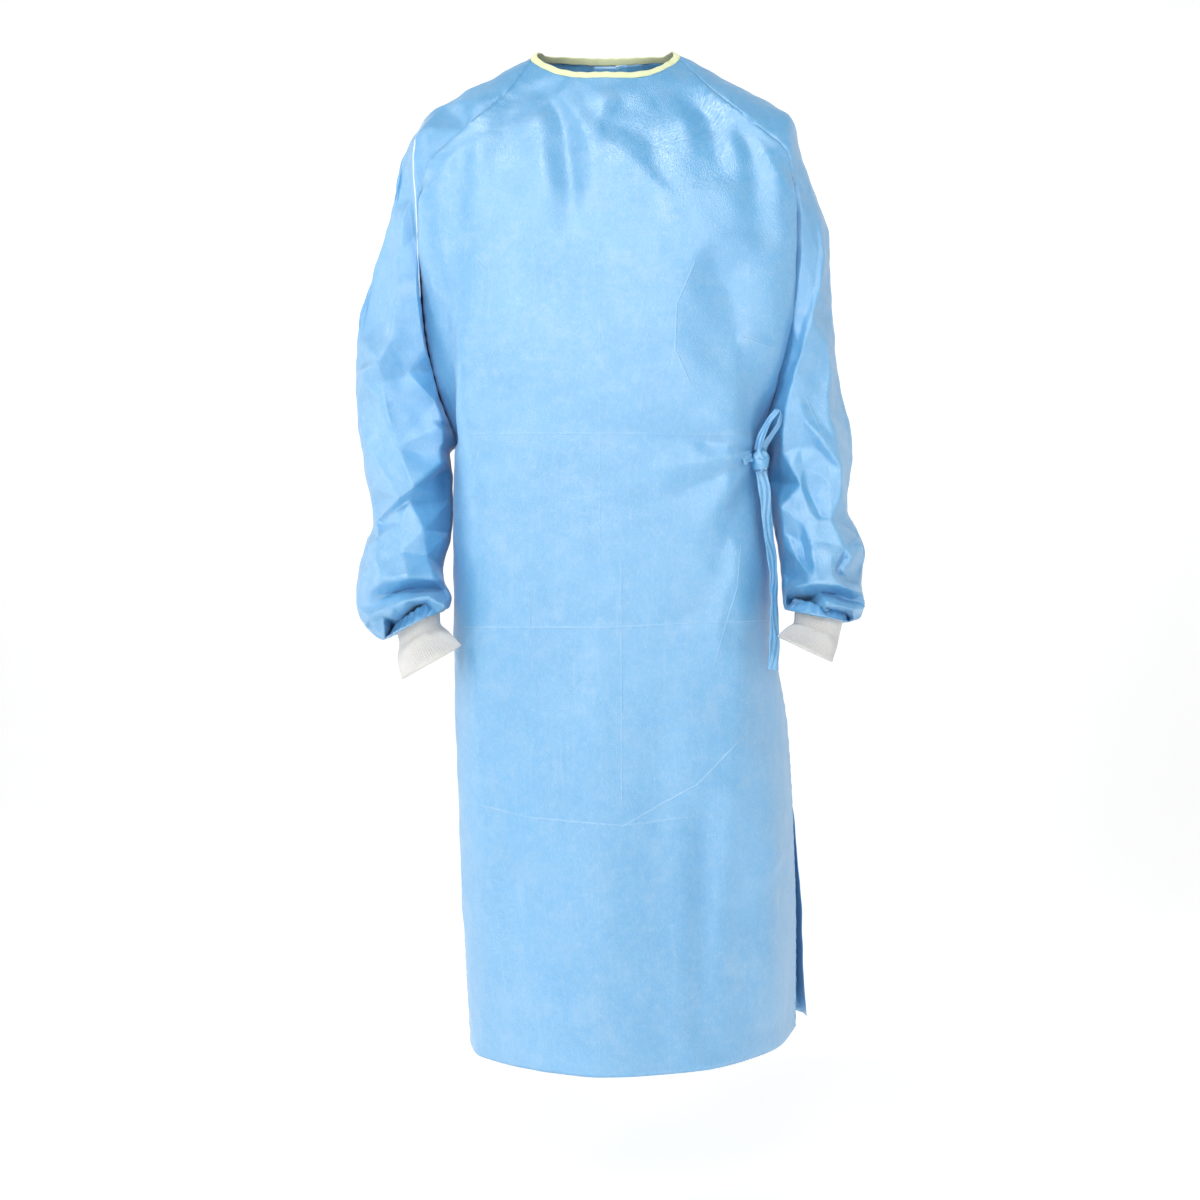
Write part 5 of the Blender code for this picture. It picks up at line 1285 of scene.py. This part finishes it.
# ---------------------------------------------------------------- neck tab
# A short strip of the gown's cloth with hook-and-loop on it, sewn to the outer back at the neck and
# pressed onto the inner back, which closes the neck behind.
TAB_WIDTH = 0.020
TAB_THICK = 0.0014
TAB_OFF = 0.0022        # how far the tab's middle lies off the backs
TAB_REACH = 14          # grid points of each back that the tab covers
TAB_GAP = 0.012         # step from the outer back's edge down to the inner back
TAB_ROWS = 10           # grid rows below the neck whose mean it lies along
TAB_PASSES = 6          # how often its line is softened
over, under = outer_grid[:TAB_ROWS].mean(axis=0), inner_grid[:TAB_ROWS].mean(axis=0)
over_out, under_out = grid_normals(outer_grid, -1)[4], grid_normals(inner_grid, -1)[4]
beyond = under[:, 0] > over[-1, 0] + TAB_GAP
under, under_out = under[beyond][:TAB_REACH], under_out[beyond][:TAB_REACH]
over, over_out = over[-TAB_REACH:], over_out[-TAB_REACH:]
tab_out = np.concatenate([over_out, under_out])
tab_line = np.concatenate([over, under]) + tab_out * TAB_OFF
for _ in range(TAB_PASSES):
    tab_line[1:-1] = (tab_line[:-2] + 2 * tab_line[1:-1] + tab_line[2:]) / 4
tab_wide = unit(np.cross(np.gradient(tab_line, axis=0), tab_out))
tab = swept("neck_tab_strip", tab_line, tab_wide, tab_out, TAB_WIDTH, TAB_THICK, sleeve_cloth, 24)
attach(tab, "root")
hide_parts("neck_tab")


# ---------------------------------------------------------------- waist tie
# A folded strip of the gown's cloth. It runs from the outer back's free edge forward under the left
# arm, and is knotted on the front with one loop, a short end and a long end that hangs.
TIE_WIDTH = 0.0155
TIE_THICK = 0.0012
TIE_STEP = 0.0022       # between grid rows along the tie
TIE_ACROSS = 15         # grid points across it
TIE_NARROWING = 0.12    # share of its width that it loses where it is crumpled most
TIE_COLUMNS = "x y z face_x face_y face_z"
TIE_LOOP = table(
    TIE_COLUMNS,
    (0.1790, -0.0880, -0.4860, -0.5, -0.8, 0.2),
    (0.1830, -0.0925, -0.4716, -0.6, -0.7, 0.2),
    (0.1900, -0.0940, -0.4560, -0.7, -0.6, 0.2),
    (0.1980, -0.0935, -0.4430, -0.6, -0.5, 0.5),
    (0.2035, -0.0900, -0.4370, 0.0, -0.3, 0.9),
    (0.2075, -0.0870, -0.4425, 0.8, -0.4, 0.4),
    (0.2055, -0.0855, -0.4535, 0.9, -0.5, 0.0),
    (0.1970, -0.0840, -0.4660, 0.7, -0.5, -0.3),
    (0.1885, -0.0835, -0.4780, 0.6, -0.6, -0.2),
    (0.1860, -0.0845, -0.4860, 0.5, -0.7, 0.0),
)
TIE_TAIL = table(
    TIE_COLUMNS,
    (0.1840, -0.0870, -0.5080, 0.2, -1.0, 0.0),
    (0.1880, -0.0890, -0.5324, 0.3, -1.0, 0.0),
    (0.1905, -0.0880, -0.5560, 0.5, -0.9, 0.0),
    (0.1935, -0.0860, -0.5856, 0.6, -0.8, 0.0),
    (0.1984, -0.0830, -0.6270, 0.7, -0.7, 0.0),
    (0.2002, -0.0820, -0.6650, 0.8, -0.6, 0.0),
    (0.2000, -0.0830, -0.7050, 0.6, -0.8, 0.0),
    (0.1985, -0.0850, -0.7450, 0.4, -0.9, 0.0),
)
TIE_STUB = table(
    TIE_COLUMNS,
    (0.1720, -0.0960, -0.4920, -0.1, -1.0, 0.1),
    (0.1660, -0.1060, -0.4930, 0.6, -0.8, 0.0),
    (0.1610, -0.1130, -0.4975, 0.6, -0.8, 0.0),
)
TIE_BACK_LEVEL = 9.45   # section at which the stretch under the arm runs
# Whether a point is on the front, its share round the back or across the front, and how far off it is.
TIE_BACK = table(
    "on_front share off",
    (0, 0.76, 0.0080), (0, 0.82, 0.0080), (0, 0.865, 0.0066), (0, 0.91, 0.0048), (0, 0.96, 0.0042),
    (1, 0.995, 0.0042), (1, 0.96, 0.0044), (1, 0.925, 0.0046), (1, 0.895, 0.0046), (1, 0.868, 0.0046),
    (1, 0.850, 0.0040),
)


def tie_strip(name, line, face, width, wrinkle):
    """A strip along a line of points, its face turned as given, with lengthwise and cross wrinkles."""
    run = walked(line, 0)
    at = np.linspace(0, run[-1], max(int(run[-1] / TIE_STEP), 12))
    rows = np.interp(at, run, np.arange(len(run)))
    line = smooth(rows, np.arange(len(run)), line.T).T
    face = smooth(rows, np.arange(len(run)), face.T).T
    along = unit(np.gradient(line, axis=0))
    wide = unit(np.cross(along, face))
    out = np.cross(wide, along)
    across = np.linspace(-1, 1, TIE_ACROSS)[None, :]
    fold = wrinkle * np.sin(2.2 * np.pi * across + 3 * np.sin(2 * np.pi * at[:, None] / 0.09))
    ripple = 0.6 * wrinkle * np.sin(2 * np.pi * at[:, None] / 0.031 + 2 * across)
    narrow = 1 - TIE_NARROWING * np.sin(2 * np.pi * at / 0.074 + 1) ** 2
    grid = (line[:, None] + wide[:, None] * (across * width / 2 * narrow[:, None])[..., None]
            + out[:, None] * (fold + ripple)[..., None])
    made = cloth_sheet(name, grid, 1, TIE_THICK, sleeve_cloth)
    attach(made, "root")
    return made


for name, columns, width in (("loop", TIE_LOOP, 0.72), ("tail", TIE_TAIL, 1.0), ("stub", TIE_STUB, 1.0)):
    line, face = (points(*(columns[kind + axis] for axis in "xyz")) for kind in ("", "face_"))
    strip = tie_strip("tie_" + name + "_strip", line, face, TIE_WIDTH * width, 0.0006)
    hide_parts("tie_" + name)

level = np.array([-0.1, 0, 0.1]) + TIE_BACK_LEVEL
behind = TIE_BACK["on_front"] == 0
back_line = back_points(level, np.tile(TIE_BACK["share"][behind], (3, 1)))
front_line = front_points(level, TIE_BACK["share"][~behind][::-1])
face = np.concatenate([grid_normals(back_line, -1)[1], grid_normals(front_line, 1)[1][::-1]])
line = np.concatenate([back_line[1], front_line[1][::-1]]) + face * TIE_BACK["off"][:, None]
strip = tie_strip("tie_back_strip", line, face, TIE_WIDTH, 0.0004)
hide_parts("tie_back")

# The knot: the strip wound once round a crumpled core.
KNOT_AT = np.array([0.1830, -0.0860, -0.4965])
KNOT_SIZE = np.array([0.0088, 0.0080, 0.0145])
KNOT_GRID = (40, 61)    # grid points from pole to pole and round the core
WRAP_GRID = (73, 13)    # grid points round the core and across the strip
WRAP_WIDTH = 0.42       # half the strip's width, as a share of the knot's height
WRAP_TILT = 0.35        # how far it leans, as the same share
around = np.linspace(0, 2 * np.pi, KNOT_GRID[1])[None, :]
pole = np.linspace(0.02, np.pi - 0.02, KNOT_GRID[0])[:, None]
lump = 1 + 0.10 * np.sin(3 * around + 2 * pole) + 0.07 * np.sin(5 * around - 4 * pole + 1) * np.sin(pole)
core = points(np.sin(pole) * np.cos(around) * lump, np.sin(pole) * np.sin(around) * lump, np.cos(pole) * lump)
core = core * KNOT_SIZE + KNOT_AT
core[:, -1] = core[:, 0]
knot = cloth_sheet("tie_knot_core", core, 1, 0.0006, sleeve_cloth, 0)
wrap_turn = np.linspace(0, 2 * np.pi, WRAP_GRID[0])[:, None]
wrap_across = np.linspace(-1, 1, WRAP_GRID[1])[None, :]
belly = 1.10 + 0.10 * np.cos(wrap_across * np.pi / 2) + 0.05 * np.sin(3 * wrap_turn + 2 * wrap_across)
tilt = WRAP_TILT * np.sin(wrap_turn)
wrap = points(np.cos(wrap_turn) * belly * KNOT_SIZE[0], np.sin(wrap_turn) * belly * KNOT_SIZE[1],
              (wrap_across * WRAP_WIDTH + tilt) * KNOT_SIZE[2]) + KNOT_AT
wrap[-1] = wrap[0]
band = cloth_sheet("tie_knot_wrap", wrap, -1, 0.0008, sleeve_cloth)
for piece in (knot, band):
    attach(piece, "root")
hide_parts("tie_knot")


# ---------------------------------------------------------------- studio
# A pale floor that sweeps up into a pale wall, wide soft lights and a camera in front of the chest.
FLOOR = -1.42
WALL = 3.8              # depth at which the floor has become the wall
BEND = 1.6              # radius of the sweep between them
FLOOR_FRONT = -9.0
WALL_HEIGHT = 7.0
HALF_WIDTH = 9
SENSOR = 36.0

sweep_x = np.linspace(-HALF_WIDTH, HALF_WIDTH, 3)[None, :]
bend = np.linspace(0, np.pi / 2, 15)
profile_y = np.concatenate([[FLOOR_FRONT], WALL - BEND + BEND * np.sin(bend), [WALL]])[:, None]
profile_z = FLOOR + np.concatenate([[0.0], BEND - BEND * np.cos(bend), [WALL_HEIGHT]])[:, None]
sweep = points(sweep_x, profile_y, profile_z)
paper = speckled("studio_paper", 0.25, 2.0, (0.90, 0.90, 0.90, 1), (0.93, 0.93, 0.93, 1),
                 Emission_Color=(1.0, 1.0, 1.0, 1), Emission_Strength=0.40, Roughness=0.9)
backdrop = cloth_sheet("studio_floor", sweep, -1, 0.002, paper)

world = bpy.data.worlds.new("studio")
bpy.context.scene.world = world
world.use_nodes = True
world.node_tree.nodes["Background"].inputs["Color"].default_value = (1.0, 1.0, 1.0, 1)
world.node_tree.nodes["Background"].inputs["Strength"].default_value = 0.26

# Name, place, width, height, power and the point that it looks at.
LIGHTS = (
    ("front", (-0.1, -3.3, 0.45), 0.6, 0.6, 16, (0.0, 0.0, -0.5)),
    ("front_right", (-1.5, -2.9, 0.3), 0.6, 1.2, 25, (-0.1, 0.0, -0.5)),
    ("front_left", (1.5, -2.9, 0.3), 0.6, 1.2, 18, (0.1, 0.0, -0.5)),
    ("top", (-0.5, -1.9, 2.2), 0.7, 0.7, 45, (0.0, 0.0, -0.6)),
    ("rim_right", (-2.2, 0.2, 0.0), 0.7, 2.6, 22, (-0.2, 0.0, -0.5)),
    ("rim_left", (2.2, 0.2, 0.0), 0.7, 2.6, 9, (0.2, 0.0, -0.5)),
)
for name, place, width, height, power, target in LIGHTS:
    light = bpy.data.lights.new(name, "AREA")
    light.shape = "RECTANGLE"
    light.size, light.size_y, light.energy = width, height, power
    lamp = bpy.data.objects.new(name, light)
    lamp.location = place
    lamp.rotation_euler = (Vector(target) - Vector(place)).to_track_quat("-Z", "Y").to_euler()
    bpy.context.scene.collection.objects.link(lamp)

camera = bpy.data.cameras.new("camera")
camera.sensor_width = SENSOR
camera.lens = SENSOR * CAMERA_AWAY / (2 * VIEW_MIDDLE * VIEW_UNIT)
camera_object = bpy.data.objects.new("camera", camera)
camera_object.location = (CAMERA_X, -CAMERA_AWAY, CAMERA_Z)
camera_object.rotation_euler = (np.pi / 2, 0, 0)
bpy.context.scene.collection.objects.link(camera_object)
bpy.context.scene.camera = camera_object
bpy.context.scene.view_settings.view_transform = "Standard"
